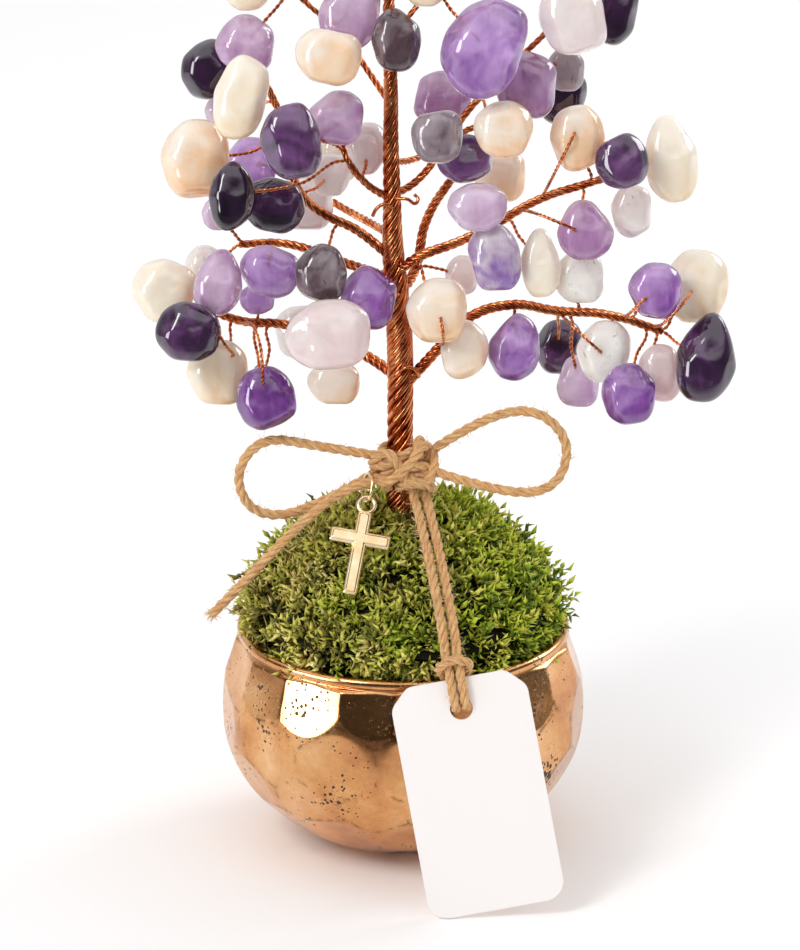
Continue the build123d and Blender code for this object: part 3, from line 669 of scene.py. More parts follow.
def makeBowlMaterial():
    material, tree = newMaterial("hammeredBronze")
    place = coords(tree)
    cloud = tree.noise(place, 0.07, 3.0, 0.55)
    grain = tree.noise(place, 0.9, 5.0, 0.7)
    clump = tree.noise(place, 0.13, 3.0, 0.6) * 0.8 + 0.09
    for spot, reach in pitPatches:
        clump = clump + tree.remap(tree.measure("DISTANCE", place, spot), 0.0, reach, 0.19, 0.0)
    cells = tree.node("ShaderNodeTexVoronoi", {}, {"Vector": place, "Scale": 0.85}, "Distance")
    size = (clump - 0.42) * 1.5
    pits = tree.remap(cells, size - 0.06, size, 1.0, 0.0)
    fineCells = tree.node("ShaderNodeTexVoronoi", {}, {"Vector": place, "Scale": 2.1}, "Distance")
    fineSize = (clump * 0.6 + grain * 0.4 - 0.42) * 1.4
    finePits = tree.remap(fineCells, fineSize - 0.06, fineSize, 0.8, 0.0)
    dark = tree.maths("MINIMUM", pits + finePits, 1.0)
    worn = tree.ramp(cloud * 0.75 + grain * 0.25, ((0.34, (0.5, 0.21, 0.085)), (0.48, (0.68, 0.33, 0.13)),
                                                   (0.62, (0.8, 0.46, 0.22)), (0.72, (0.86, 0.56, 0.33))))
    # darker in patches along the edges between the flats
    edgeDarkening = tree.remap(tree.noise(place, 0.35, 4.0, 0.7) + grain * 0.3, 0.61, 0.72, 0.0, 0.9)
    tinted = tree.mix(tree.attribute("ridge") * edgeDarkening, worn, (0.1, 0.04, 0.016, 1))
    finishMaterial(tree, {
        "Base Color": tree.mix(dark * 0.93, tinted, (0.03, 0.014, 0.008, 1)), "Metallic": 1.0 - dark * 0.7,
        "Roughness": 0.1 + grain * 0.12 + dark * 0.4,
        "Normal": tree.bump(grain * 0.1 - dark * 0.9 + cloud * 0.5, 0.45, 0.22 * mm)})
    return material


dress(linkMesh("bowl_hammered", makeBowlMesh(), makeBowlMaterial()), "tree", "bowl")
print("bowl ready")


# Stones: tumbled pebbles round each stone of the frame
# the last entry is the way that the painted light and shade on the stones comes from
pebble = {"detail": 5, "smoothing": 12, "flats": 7, "flatShares": (0.78, 0.97), "lumpShare": 0.03,
          "keep": 0.995, "paintedLightWay": (-0.42, -0.6, 0.68)}
# each kind's shade sets how strongly painted light and shade lighten the side towards the lamp and deepen the
# far side
stoneLooks = {
    "amethyst": {"dark": (0.1, 0.018, 0.18), "mid": (0.3, 0.1, 0.43), "pale": (0.72, 0.47, 0.86),
                 "glass": 0.5, "glow": 0.3, "shade": 0.2},
    "clear": {"dark": (0.3, 0.16, 0.46), "mid": (0.82, 0.74, 0.74), "pale": (1.0, 0.95, 0.87),
              "glass": 0.14, "glow": 0.5, "shade": 0.1, "needles": 0.5},
    "cream": {"dark": (0.78, 0.52, 0.29), "mid": (0.92, 0.75, 0.54), "pale": (0.97, 0.87, 0.74),
              "glass": 0.05, "glow": 0.5, "shade": 0.34},
    "lilac": {"dark": (0.34, 0.13, 0.34), "mid": (0.58, 0.33, 0.58), "pale": (0.87, 0.71, 0.87),
              "glass": 0.4, "glow": 0.4, "shade": 0.2},
    "peach": {"dark": (0.85, 0.43, 0.19), "mid": (0.92, 0.62, 0.38), "pale": (0.96, 0.84, 0.72),
              "glass": 0.06, "glow": 0.5, "shade": 0.34},
    "rose": {"dark": (0.7, 0.4, 0.42), "mid": (0.88, 0.69, 0.68), "pale": (0.97, 0.87, 0.85),
             "glass": 0.2, "glow": 0.5, "shade": 0.2},
    "smoky": {"dark": (0.03, 0.017, 0.02), "mid": (0.13, 0.08, 0.095), "pale": (0.5, 0.42, 0.46),
              "glass": 0.3, "glow": 0.15, "shade": 0.1, "needles": 0.7},
    "violet": {"dark": (0.009, 0.004, 0.012), "mid": (0.045, 0.015, 0.055), "pale": (0.22, 0.09, 0.26),
               "glass": 0.15, "glow": 0.1, "shade": 0.06},
}
stoneTones = {  # from 0, dark, to 1, pale, for the stone seen nearest each pixel of the photograph
    "amethyst": ((270, 273, 0.75), (258, 300, 0.8), (369, 300, 0.5), (267, 400, 0.12), (481, 60, 0.64),
                 (515, 346, 0.58), (652, 294, 0.5), (626, 395, 0.3)),
    "clear": ((492, 263, 0), (629, 214, 0.6), (578, 279, 1.1), (600, 360, 1.1), (440, 200, 0.5)),
    "cream": ((246, 106, 0.6), (165, 293, 0.45), (219, 374, 0.3), (424, 3, 0.4), (549, -6, 0.6),
              (666, 162, 0.7), (538, 265, 0.9), (694, 288, 0.5)),
    "lilac": ((350, 25, 0.6), (249, 54, 0.4), (222, 115, 0.8), (337, 126, 0.5), (218, 215, 0.7),
              (221, 283, 0.5), (262, 385, 0.5), (524, 93, 0.25), (475, 213, 0.85), (582, 235, 0.3),
              (578, 382, 0.7)),
    "peach": ((352, -8, 0.4), (331, 68, 0.55), (200, 166, 0.3), (334, 384, 0.8), (500, 139, 0.5),
              (574, 144, 0.3), (438, 313, 0.5), (463, 351, 0.8)),
    "rose": ((367, 153, 0.7), (330, 178, 0.8), (328, 338, 0.58), (568, 30, 0.8), (462, 276, 0.5),
             (658, 374, 0.3)),
    "smoky": ((397, 52, 0.2), (323, 277, 0.35), (563, 74, 0.9), (437, 144, 0.75)),
    "violet": ((213, 76, 0.1), (294, 149, 0.6), (236, 203, 0.05), (275, 210, 0.2), (190, 334, 0.3),
               (609, 20, 0.2), (465, 165, 0.8), (615, 169, 0.55), (703, 357, 0.25)),
}


def sphereGrid(detail):
    work = bmesh.new()
    bmesh.ops.create_icosphere(work, subdivisions=detail, radius=1.0)
    work.verts.ensure_lookup_table()
    ways = np.array([vert.co[:] for vert in work.verts])
    edges = np.array([[vert.index for vert in edge.verts] for edge in work.edges])
    faces = [[vert.index for vert in face.verts] for face in work.faces]
    work.free()
    return ways, edges, faces


def smoothed(values, edges, rounds):
    counts = np.bincount(edges.ravel(), minlength=len(values))
    for _ in range(rounds):
        sums = np.zeros(len(values))
        np.add.at(sums, edges[:, 0], values[edges[:, 1]])
        np.add.at(sums, edges[:, 1], values[edges[:, 0]])
        values = 0.5 * values + 0.5 * sums / counts
    return values


def hullTree(points):
    work = bmesh.new()
    verts = [work.verts.new(point) for point in points]
    bmesh.ops.convex_hull(work, input=verts)
    tree = BVHTree.FromBMesh(work)
    work.free()
    return tree


def solidReach(points, ways):  # a solid's centre, and how far it reaches each way
    cloud = np.array([point[:] for point in points])
    centre = (cloud.min(0) + cloud.max(0)) / 2
    hull = hullTree(points)
    hits = [hull.ray_cast(Vector(centre + way), Vector(-way))[0] for way in ways]
    reach = [(np.array(hit) - centre) @ way if hit else 0.0 for hit, way in zip(hits, ways)]
    return centre, np.array(reach)


def tumbled(reach, grid, rng):  # the solid's reach with worn flats and lumps, in the solid's own box
    ways, edges, _ = grid
    body = reach.copy()
    for _ in range(pebble["flats"]):
        way = np.array([rng.gauss(0, 1) for _ in range(3)])
        way /= np.linalg.norm(way)
        support = (ways * reach[:, None] @ way).max() * rng.uniform(*pebble["flatShares"])
        body = np.minimum(body, planeReach(support, ways @ way, 10 * reach.max()))
    body = smoothed(body, edges, pebble["smoothing"])
    phase = rng.uniform(0, 6)
    lumps = np.sin(ways @ np.array([2.7, 1.9, -1.3]) + phase)
    lumps *= np.cos(ways @ np.array([-1.1, 2.3, 2.9]) + phase)
    body *= 1 + pebble["lumpShare"] * lumps
    spread, original = ways * body[:, None], ways * reach[:, None]
    return spread * np.ptp(original, axis=0) / np.ptp(spread, axis=0) * pebble["keep"]


def stoneTone(kind, centre):
    across, down = photoPixel(centre)
    return min(stoneTones[kind], key=lambda row: (row[0] - across) ** 2 + (row[1] - down) ** 2)[2]


def meanAcross(part):
    return round(sum(point.x for point in part) / len(part), 6)


def makeStones(kind, grid, seed):
    rng = random.Random(seed)
    lamp = np.array(pebble["paintedLightWay"])
    points, faces, marks = [], [], {"stoneSeed": [], "stoneTone": [], "stoneLit": []}
    for part in sorted(nodeParts("stones_" + kind), key=meanAcross):
        centre, reach = solidReach(part, grid[0])
        spread = tumbled(reach, grid, rng)
        first = len(points)
        points.extend(centre + spread)
        faces.extend([[corner + first for corner in face] for face in grid[2]])
        marks["stoneSeed"] += [rng.uniform(0, 50)] * len(spread)
        marks["stoneTone"] += [stoneTone(kind, centre)] * len(spread)
        # painted light: how far each point leans towards the lamp, for the painted light and shade of the
        # material
        marks["stoneLit"] += list(spread @ lamp / np.abs(spread @ lamp).max())
    mesh = meshFrom("stones", points, faces)
    for name, values in marks.items():
        addMark(mesh, name, values)
    return mesh


def makeStoneMaterial(kind, look):
    material, tree = newMaterial("polished" + kind.capitalize())
    seed = tree.attribute("stoneSeed")
    place = tree.vector("ADD", coords(tree), tree.combined(seed * 31, seed * 17, seed))
    zones = tree.noise(place, 0.13, 2.0, 0.5, 1.2)
    veils = tree.noise(tree.stretched(place, (1.0, 0.6, 0.35)), 0.5, 4.0, 0.6, 1.0)
    level = tree.attribute("stoneTone") * 0.6 + zones * 0.82 + veils * 0.3 - 0.28
    # painted light and shade: paler on the side that faces the lamp, deeper on the far side, by each kind's
    # shade
    level = level + tree.attribute("stoneLit") * look["shade"]
    colour = tree.ramp(level, ((0.18, look["dark"]), (0.5, look["mid"]), (0.9, look["pale"])))
    if "needles" in look:
        thin = tree.noise(tree.stretched(place, (1.0, 1.0, 0.3)), 1.1, 5.0, 0.7, 0.6)
        needles = tree.remap(thin, 0.6, 0.68, 0.0, look["needles"])
        colour = tree.mix(needles, colour, (0.04, 0.03, 0.04, 1))
    finishMaterial(tree, {
        "Base Color": colour, "Roughness": 0.06 + veils * 0.06, "IOR": 1.55,
        "Transmission Weight": look["glass"], "Subsurface Weight": look["glow"],
        "Subsurface Radius": (1.0, 0.75, 0.95), "Subsurface Scale": 3 * mm, "Coat Weight": 0.9,
        "Coat Roughness": 0.02, "Normal": tree.bump(zones, 0.35, 0.6 * mm)})
    return material


stoneGrid = sphereGrid(pebble["detail"])
stonePieces = []
for seed, (kind, look) in enumerate(stoneLooks.items()):
    stones = linkMesh("pebbles_" + kind, makeStones(kind, stoneGrid, seed), makeStoneMaterial(kind, look))
    stonePieces.append(stones)
    dress(stones, "tree", "stones_" + kind)
print("stones ready")


# Wires: the trunk and the branches follow the photograph, and each stem runs from its branch into its stone
trunk = {"foot": 30 * mm, "radius": 2.7 * mm, "phase": 0.7, "coreShare": 0.72, "coreSpacing": 1 * mm,
         "pixels": ((400, 520), (400, 430), (400, 350), (397, 300), (393, 250), (392, 200), (391, 150),
                    (391, 100), (389, 20), (392, -40), (398, -85)),
         "girthShares": ((0.0, 1.0), (0.46, 0.98), (0.53, 0.9), (0.6, 0.72), (0.72, 0.56), (0.88, 0.44),
                         (1.0, 0.3))}
trunkParts = (  # start and end as shares of the length, wires, lay and spacing
    (0.0, 0.6, 7, 17 * mm, 0.5 * mm), (0.55, 0.78, 6, 14 * mm, 0.45 * mm), (0.74, 1.0, 4, 10 * mm, 0.4 * mm))
trunkLayers = ((1.12, 1.0, 0.0), (0.94, 1.07, 0.5))  # shares of the wire, of the lay and of a first turn
branchDepth = 10 * mm
wireTails = (  # pixels of the photograph, and depths as shares of branchDepth, as for the branches
    ((393, 213, -0.27), (384, 209, -0.36), (377, 213, -0.34), (373, 220, -0.3)),
    ((397, 203, -0.27), (408, 204, -0.34), (415, 208, -0.3), (418, 203, -0.24), (414, 199, -0.2)),
    ((399, 296, -0.28), (391, 300, -0.36), (385, 295, -0.34), (381, 290, -0.3)),
    ((400, 372, -0.28), (408, 368, -0.37), (415, 371, -0.35), (419, 378, -0.3)))
branchRoutes = {
    "branch_low_left": ((395, 380, 0.0), (368, 357, 0.5), (325, 338, 0.9), (285, 325, 0.7), (244, 322, 0.5),
                        (212, 312, 0.3)),
    "branch_low_right": ((403, 388, 0.0), (432, 356, -0.1), (465, 321, 0.0), (511, 306, 0.2), (555, 312, 0.1),
                         (605, 316, -0.1), (660, 332, 0.0)),
    "branch_inner_left": ((390, 322, 0.0), (365, 318, 0.4), (338, 312, 0.2)),
    "branch_mid_left": ((390, 262, 0.0), (357, 233, 0.0), (326, 218, -0.1), (304, 200, 0.0), (290, 165, 0.2),
                        (281, 119, 0.3), (262, 80, 0.2)),
    "branch_twig_left": ((391, 282, 0.0), (340, 262, 0.9), (285, 244, 1.3), (240, 245, 1.2)),
    "branch_upper_left": ((386, 205, 0.0), (365, 187, -0.3), (348, 165, -0.4), (341, 140, -0.2)),
    "branch_mid_right": ((402, 275, 0.0), (420, 259, -0.3), (455, 246, -0.2), (491, 229, 0.0),
                         (535, 204, 0.2), (587, 187, 0.1), (640, 172, 0.0)),
    "branch_rising_right": ((403, 300, 0.0), (416, 268, 0.8), (425, 225, 1.0), (448, 186, 0.8),
                            (482, 148, 0.6)),
    "branch_upper_right": ((394, 201, 0.0), (415, 186, 0.3), (440, 156, 0.2), (466, 118, 0.3),
                           (505, 78, 0.4), (545, 40, 0.2)),
    "branch_top_left": ((390, 110, 0.0), (370, 80, 0.5), (345, 45, 0.7), (300, 5, 0.6), (270, -25, 0.4)),
    "branch_top_right": ((389, 60, 0.0), (415, 20, -0.3), (460, -20, -0.4), (520, -50, -0.2)),
    "branch_crown": ((391, 5, 0.0), (404, -25, -0.2), (424, -52, -0.3), (436, -78, -0.1)),
    "branch_back_left": ((392, 240, 0.0), (372, 225, 1.0), (330, 200, 2.0), (285, 170, 2.4)),
    "branch_back_right": ((394, 170, 0.0), (420, 160, 1.0), (470, 130, 2.0), (530, 105, 2.3)),
}
branchWire = {"seed": 11, "girthShare": 0.46, "tipShare": 0.72, "wires": 4, "lay": 6.4 * mm,
              "spacing": 0.4 * mm}
stemWire = {"back": 5 * mm, "bow": 0.07, "stop": 1.5 * mm, "rootShare": 0.4, "bowShare": 0.45}
stemRope = {"Strands": 2, "Strand Offset": 0.19 * mm, "Strand Radius": 0.2 * mm, "Lay": 2.3 * mm, "Sides": 6,
            "Spacing": 0.32 * mm, "Phase": 0.0}
tailRope = {"Strands": 1, "Strand Offset": 0.0, "Strand Radius": 0.36 * mm, "Lay": 1 * mm, "Sides": 8,
            "Spacing": 0.35 * mm, "Phase": 0.0}
frontStems = {"standOff": 200 * mm, "lift": 0.7 * mm, "pixels": (  # foot with its depth, bend, and hole
    ((541, 199, 1 * mm), (556, 170), (570, 142)), ((520, 213, 0.0), (546, 224), (571, 235)),
    ((560, 316, 1 * mm), (577, 334), (598, 353)), ((440, 347, 0.0), (442, 335), (440, 322)),
    ((622, 320, 0.0), (632, 310), (641, 302)), ((650, 329, 0.0), (668, 318), (688, 294)),
    ((216, 313, 3 * mm), (224, 340), (234, 357)), ((238, 322, 5 * mm), (262, 345), (265, 384)))}


def makeWireMaterial():
    material, tree = newMaterial("copperWire")
    place = coords(tree)
    cloud = tree.noise(place, 0.35, 3.0, 0.6)
    grain = tree.noise(place, 2.2, 3.0, 0.6)
    colour = tree.ramp(cloud * 0.8 + grain * 0.2, (
        (0.34, (0.3, 0.065, 0.025)), (0.47, (0.58, 0.17, 0.06)), (0.58, (0.76, 0.29, 0.11)),
        (0.7, (0.9, 0.46, 0.22))))
    finishMaterial(tree, {"Base Color": colour, "Metallic": 1.0, "Roughness": 0.16 + grain * 0.1,
                          "Normal": tree.bump(grain, 0.08, 0.05 * mm)})
    return material


def wirePoint(across, down, depth):
    return photoPoint(across, down, depth * branchDepth)


def lengthShares(line):
    steps = [0.0]
    for here, after in zip(line, line[1:]):
        steps.append(steps[-1] + (after - here).length)
    return [step / steps[-1] for step in steps]


wireMaterial = makeWireMaterial()
trunkLine = smoothLine([Vector((0, 0, trunk["foot"]))] + [photoPoint(*pixel) for pixel in trunk["pixels"]])
trunkShares = lengthShares(trunkLine)


def trunkAt(height):
    nearest = min(range(len(trunkLine)), key=lambda spot: abs(trunkLine[spot].z - height))
    return trunkLine[nearest], trunkShares[nearest]


def trunkGirth(share):
    shares, girths = zip(*trunk["girthShares"])
    return trunk["radius"] * float(np.interp(share, shares, girths))


def touchingWire(count, girth):  # the radius of wires that just touch side by side round a girth
    half = math.sin(math.pi / count)
    return girth * half / (1 + half)


def wireRope(count, wire, offset, lay, spacing, phase=0.0):
    return {"Strands": count, "Strand Offset": offset, "Strand Radius": wire, "Lay": lay, "Sides": 8,
            "Spacing": spacing, "Phase": phase}


def makeTrunk():
    ropes = []
    for count, (start, end, wires, lay, spacing) in enumerate(trunkParts):
        spots = [spot for spot, share in enumerate(trunkShares) if start <= share <= end]
        girth = trunkGirth(start)
        girths = [trunkGirth(trunkShares[spot]) / girth for spot in spots]
        line = [trunkLine[spot] for spot in spots]
        for thickness, layShare, turn in trunkLayers:
            wire = touchingWire(2 * wires, girth) * thickness
            phase = trunk["phase"] * count + turn * 2 * math.pi / wires
            layer = wireRope(wires, wire, girth - wire, lay * layShare, spacing, phase)
            ropes.append(windRope("trunkLayer", [line], layer, wireMaterial, [girths]))
        core = wireRope(1, girth * trunk["coreShare"], 0.0, lay, trunk["coreSpacing"])
        ropes.append(windRope("trunkCore", [line], core, wireMaterial, [girths]))
    tails = [smoothLine([wirePoint(*pixel) for pixel in tail]) for tail in wireTails]
    ropes.append(windRope("wireTails", tails, tailRope, wireMaterial))
    return joinPieces("trunk_wires", ropes, wireMaterial)


def rodEnds(points):  # the two ends of a straight rod
    cloud = np.array([point[:] for point in points])
    centre = cloud.mean(0)
    axis = np.linalg.svd(cloud - centre)[2][0]
    along = (cloud - centre) @ axis
    return Vector(cloud[along < 0].mean(0)), Vector(cloud[along > 0].mean(0))


def stemRoute(rod, line, rng):  # off the branch and along a rod of the frame into its stone
    ends = rodEnds(rod)
    spots = [min(range(len(line)), key=lambda spot: (line[spot] - end).length) for end in ends]
    near = 0 if (line[spots[0]] - ends[0]).length < (line[spots[1]] - ends[1]).length else 1
    start, end, spot = ends[near], ends[1 - near], spots[near]
    back = spot
    while back > 0 and (line[back] - line[spot]).length < stemWire["back"]:
        back -= 1
    way = (end - start).normalized()
    stop = end - way * stemWire["stop"]
    side = way.cross(Vector([rng.gauss(0, 1) for _ in range(3)])).normalized()
    bow = side * (stop - start).length * stemWire["bow"]
    root = line[spot].lerp(start, stemWire["rootShare"])
    return smoothLine([line[back], root, start.lerp(stop, stemWire["bowShare"]) + bow, stop])


def makeBranch(name, pixels, rng):
    foot, share = trunkAt(wirePoint(*pixels[0]).z)
    line = smoothLine([foot] + [wirePoint(*pixel) for pixel in pixels[1:]])
    girth = branchWire["girthShare"] * trunkGirth(share)
    girths = [1 + (branchWire["tipShare"] - 1) * part for part in lengthShares(line)]
    wire = touchingWire(branchWire["wires"], girth)
    rope = wireRope(branchWire["wires"], wire, girth - wire, branchWire["lay"], branchWire["spacing"])
    made = [windRope(name + "_rope", [line], rope, wireMaterial, [girths])]
    rods = sorted(nodeParts(name), key=len)[:-1]
    if rods:
        routes = [stemRoute(rod, line, rng) for rod in rods]
        made.append(windRope(name + "_stems", routes, stemRope, wireMaterial))
    return joinPieces(name + "_wires", made, wireMaterial)


def stoneFaces(trees, pixel):  # where a pixel's line of sight meets the nearest stone, if it meets one
    way = Vector((0, math.cos(photo["tilt"]), -math.sin(photo["tilt"])))
    start = photoPoint(*pixel) - way * frontStems["standOff"]
    hits = [hit for hit in (tree.ray_cast(start, way) for tree in trees) if hit[0]]
    return sorted(hits, key=lambda hit: hit[3])[:1]


def makeFrontStems():  # stems that enter their stones from the front
    trees = [BVHTree.FromPolygons([vert.co for vert in piece.data.vertices],
                                  [face.vertices for face in piece.data.polygons]) for piece in stonePieces]
    routes = []
    for foot, bend, hole in frontStems["pixels"]:
        place, normal = stoneFaces(trees, hole)[0][:2]
        lift = normal * frontStems["lift"]
        depth = min([place.y] + [hit[0].y for hit in stoneFaces(trees, bend)]) - frontStems["lift"]
        routes.append(smoothLine([photoPoint(*foot), photoPoint(*bend, depth), place + lift, place - lift]))
    return windRope("front_stems", routes, stemRope, wireMaterial)


dress(makeTrunk(), "tree", "trunk")
wireRandom = random.Random(branchWire["seed"])
for name, pixels in branchRoutes.items():
    dress(makeBranch(name, pixels, wireRandom), "tree", name)
dress(makeFrontStems(), "tree")
print("wires ready")


# Moss: rosettes and bent stalks of a few kinds, scattered in clumps over the mound
moss = {"seed": 3, "pieces": (("moss_shade", 1000, 1), ("moss_leaf", 1450, 2), ("moss_gold", 1050, 3)),
        "clumpNoise": (0.38, 0.62), "clumpDensity": (0.6, 1.5),
        "inputs": {"Clump Scale": 190.0, "Smallest": 0.6, "Largest": 1.2, "Sideways": 0.95, "Upward": 0.25}}
mound = {"sink": 2.4 * mm, "voxel": 1.1 * mm, "softenRounds": 12, "softenShare": 0.6}
sprigPlan = {"kinds": 6, "stalkLength": 5.2 * mm, "stalkWidth": 0.24 * mm, "stalkSteps": 3, "stalkLeaves": 7,
             "rosetteLeaves": 9, "leafLength": 3.1 * mm, "leafWidth": 0.52 * mm, "leafBend": 0.3,
             "leafTurn": 2.4, "leafTurnShift": 0.4}
mossInputs = {"Sprigs": ("Collection", None), "Density": ("Float", 1.0), "Clump Scale": ("Float", 200.0),
              "Seed": ("Int", 0), "Smallest": ("Float", 0.6), "Largest": ("Float", 1.2),
              "Sideways": ("Float", 0.8), "Upward": ("Float", 0.5), "Material": ("Material", None)}
mossTones = {  # dark, middle and bright, on the right and on the left; the dark end is partly painted shade at the sprig bases
    "moss_shade": (((0.01, 0.018, 0.003), (0.07, 0.11, 0.01), (0.24, 0.34, 0.03)),
                   ((0.02, 0.015, 0.004), (0.12, 0.1, 0.02), (0.34, 0.28, 0.06))),
    "moss_leaf": (((0.014, 0.026, 0.003), (0.24, 0.34, 0.015), (0.7, 0.78, 0.07)),
                  ((0.02, 0.018, 0.004), (0.34, 0.32, 0.03), (0.8, 0.76, 0.16))),
    "moss_gold": (((0.03, 0.028, 0.005), (0.4, 0.4, 0.03), (0.86, 0.85, 0.15)),
                  ((0.035, 0.018, 0.006), (0.46, 0.33, 0.06), (0.95, 0.85, 0.3))),
}
# the bed under the sprigs: dark brown-green, near-black as painted shade in the gaps between sprigs
bedTones = ((0.012, 0.012, 0.003), (0.05, 0.055, 0.01), (0.11, 0.12, 0.02))


def threeWays(side, over):  # evenly round an axis
    turns = [2 * math.pi * corner / 3 for corner in range(3)]
    return [side * math.cos(turn) + over * math.sin(turn) for turn in turns]


def addLeaf(sprig, foot, way, length, rng, low, high):  # a bent three-sided blade, marked from low to high
    points, faces, marks = sprig
    side = way.cross(Vector((0.1, 0.2, 1))).normalized()
    over = way.cross(side)
    bend = (over * rng.gauss(0, 1) + side * rng.gauss(0, 0.6)) * sprigPlan["leafBend"] * length
    middle = foot + way * length * 0.5 + bend * 0.35
    width = sprigPlan["leafWidth"] * rng.uniform(0.8, 1.2)
    first = len(points)
    points.append(foot)
    points += [middle + corner * width for corner in threeWays(side, over * 0.6)]
    points.append(foot + way * length - bend * 0.6)
    marks += [low, (low + high) / 2, (low + high) / 2, (low + high) / 2, high]
    for corner in range(3):
        here, after = first + 1 + corner, first + 1 + (corner + 1) % 3
        faces.extend(((first, after, here), (first + 4, here, after)))


def nextTurn(turn, rng):
    return turn + sprigPlan["leafTurn"] + rng.uniform(-1, 1) * sprigPlan["leafTurnShift"]


def makeRosette(sprig, rng):  # short leaves spreading from one spot
    turn, size = rng.uniform(0, 6), sprigPlan["leafLength"]
    for _ in range(sprigPlan["rosetteLeaves"]):
        turn = nextTurn(turn, rng)
        way = Vector((math.cos(turn), math.sin(turn), rng.uniform(0.35, 1.7))).normalized()
        foot = Vector((0, 0, size * rng.uniform(0.2, 0.75)))
        addLeaf(sprig, foot, way, size * rng.uniform(0.75, 1.3), rng, 0.15, rng.uniform(0.75, 1.0))


def makeStalk(sprig, rng):  # a bent stalk with leaves along it
    points, faces, marks = sprig
    way = Vector((rng.gauss(0, 0.25), rng.gauss(0, 0.25), 1)).normalized()
    curl = Vector((rng.gauss(0, 1), rng.gauss(0, 1), 0)).normalized()
    spots, steps = [Vector((0, 0, 0))], sprigPlan["stalkSteps"]
    for _ in range(steps):
        spots.append(spots[-1] + way * sprigPlan["stalkLength"] / steps)
        way = (way + curl * rng.uniform(0.25, 0.6)).normalized()
    for count, place in enumerate(spots):
        width = sprigPlan["stalkWidth"] * (1.1 - 0.2 * count)
        points += [place + corner * width for corner in threeWays(Vector((1, 0, 0)), Vector((0, 1, 0)))]
        marks += [0.1 + 0.2 * count] * 3
    for ring in range(steps):
        for corner in range(3):
            low, after = 3 * ring, (corner + 1) % 3
            faces.append((low + corner, low + after, low + 3 + after, low + 3 + corner))
    turn, leaves = rng.uniform(0, 6), sprigPlan["stalkLeaves"]
    for leaf in range(leaves):
        share = 0.35 + 0.65 * leaf / (leaves - 1)
        ring = min(int(share * steps), steps - 1)
        foot = spots[ring].lerp(spots[ring + 1], share * steps - ring)
        along = (spots[ring + 1] - spots[ring]).normalized()
        side = along.orthogonal().normalized()
        turn = nextTurn(turn, rng)
        out = side * math.cos(turn) + along.cross(side) * math.sin(turn)
        way = (out + along * rng.uniform(0.5, 1.4)).normalized()
        length = sprigPlan["leafLength"] * rng.uniform(0.5, 0.85)
        addLeaf(sprig, foot, way, length, rng, 0.2 + share * 0.4, rng.uniform(0.75, 1.0))


def makeSprig(name, kind, rng):
    points, faces, marks = [], [], []
    sprig = (points, faces, marks)
    (makeStalk if kind % 2 else makeRosette)(sprig, rng)
    mesh = meshFrom(name, points, faces)
    addMark(mesh, "tip", marks)
    made = linkMesh(name, mesh, smooth=False)
    made.hide_render = True
    return made


def randomNumber(tree, low, high, seed):
    return tree.node("FunctionNodeRandomValue", {"data_type": "FLOAT"}, {2: low, 3: high, "Seed": seed}, 1)


def makeMossTree(name):
    group, tree, given = newGeometryTree(name, mossInputs)
    seed = given.other("Seed")
    clumps = tree.noise(tree.node("GeometryNodeInputPosition"), given.other("Clump Scale"), 2.0)
    density = given.other("Density") * tree.remap(clumps, *moss["clumpNoise"], *moss["clumpDensity"])
    spots = tree.node("GeometryNodeDistributePointsOnFaces", {"distribute_method": "RANDOM"},
                      {"Mesh": given, "Density": density, "Seed": seed})
    shake = tree.node("FunctionNodeRandomValue", {"data_type": "FLOAT_VECTOR"},
                      {0: (-1, -1, -0.6), 1: (1, 1, 0.8), "Seed": seed + 5})
    leaning = tree.vector("ADD", spots.other("Normal"), tree.scaled(shake, given.other("Sideways")))
    way = tree.vector("ADD", leaning, tree.combined(z=given.other("Upward")))
    facing = tree.node("FunctionNodeAlignRotationToVector", {"axis": "Z"}, {"Vector": way})
    spin = tree.combined(z=randomNumber(tree, 0.0, 2 * math.pi, seed + 9))
    turned = tree.node("FunctionNodeRotateRotation", {"rotation_space": "LOCAL"},
                       {"Rotation": facing, "Rotate By": spin})
    size = randomNumber(tree, given.other("Smallest"), given.other("Largest"), seed + 2)
    kinds = tree.node("GeometryNodeCollectionInfo", {}, {
        "Collection": given.other("Sprigs"), "Separate Children": True, "Reset Children": True})
    sprigs = tree.node("GeometryNodeInstanceOnPoints", {}, {
        "Points": spots, "Instance": kinds, "Pick Instance": True, "Rotation": turned, "Scale": size})
    tone = randomNumber(tree, 0.0, 1.0, seed + 3)
    finishGeometry(tree, given, storeMark(tree, sprigs, "sprigTone", tone, "INSTANCE"))
    return group


def makeMossMaterial(name, sides):
    material, tree = newMaterial(name)
    tone, tip = tree.attribute("sprigTone"), tree.attribute("tip")
    place = coords(tree)
    # darker from the leaf tips down to the sprig bases: partly the moss's own paler young tips, partly
    # painted shade deep in the mat
    level = tip * 0.95 + tone * 0.3 + tree.noise(place, 0.1, 3.0, 0.6) * 0.6 - 0.4
    right, left = [tree.ramp(level, tuple(zip((0.12, 0.48, 0.92), tones))) for tones in sides]
    across = tree.node("ShaderNodeSeparateXYZ", {}, {"Vector": place}, "X")
    leftness = across * -0.012 + tree.noise(place, 0.07, 3.0, 0.6) * 1.6 + tone * 0.25
    finishMaterial(tree, {
        "Base Color": tree.mix(tree.remap(leftness, 0.72, 1.2), right, left), "Roughness": 0.65,
        "Specular IOR Level": 0.2, "Subsurface Weight": 0.1, "Subsurface Radius": (0.6, 1.0, 0.3),
        "Subsurface Scale": 0.6 * mm})
    return material


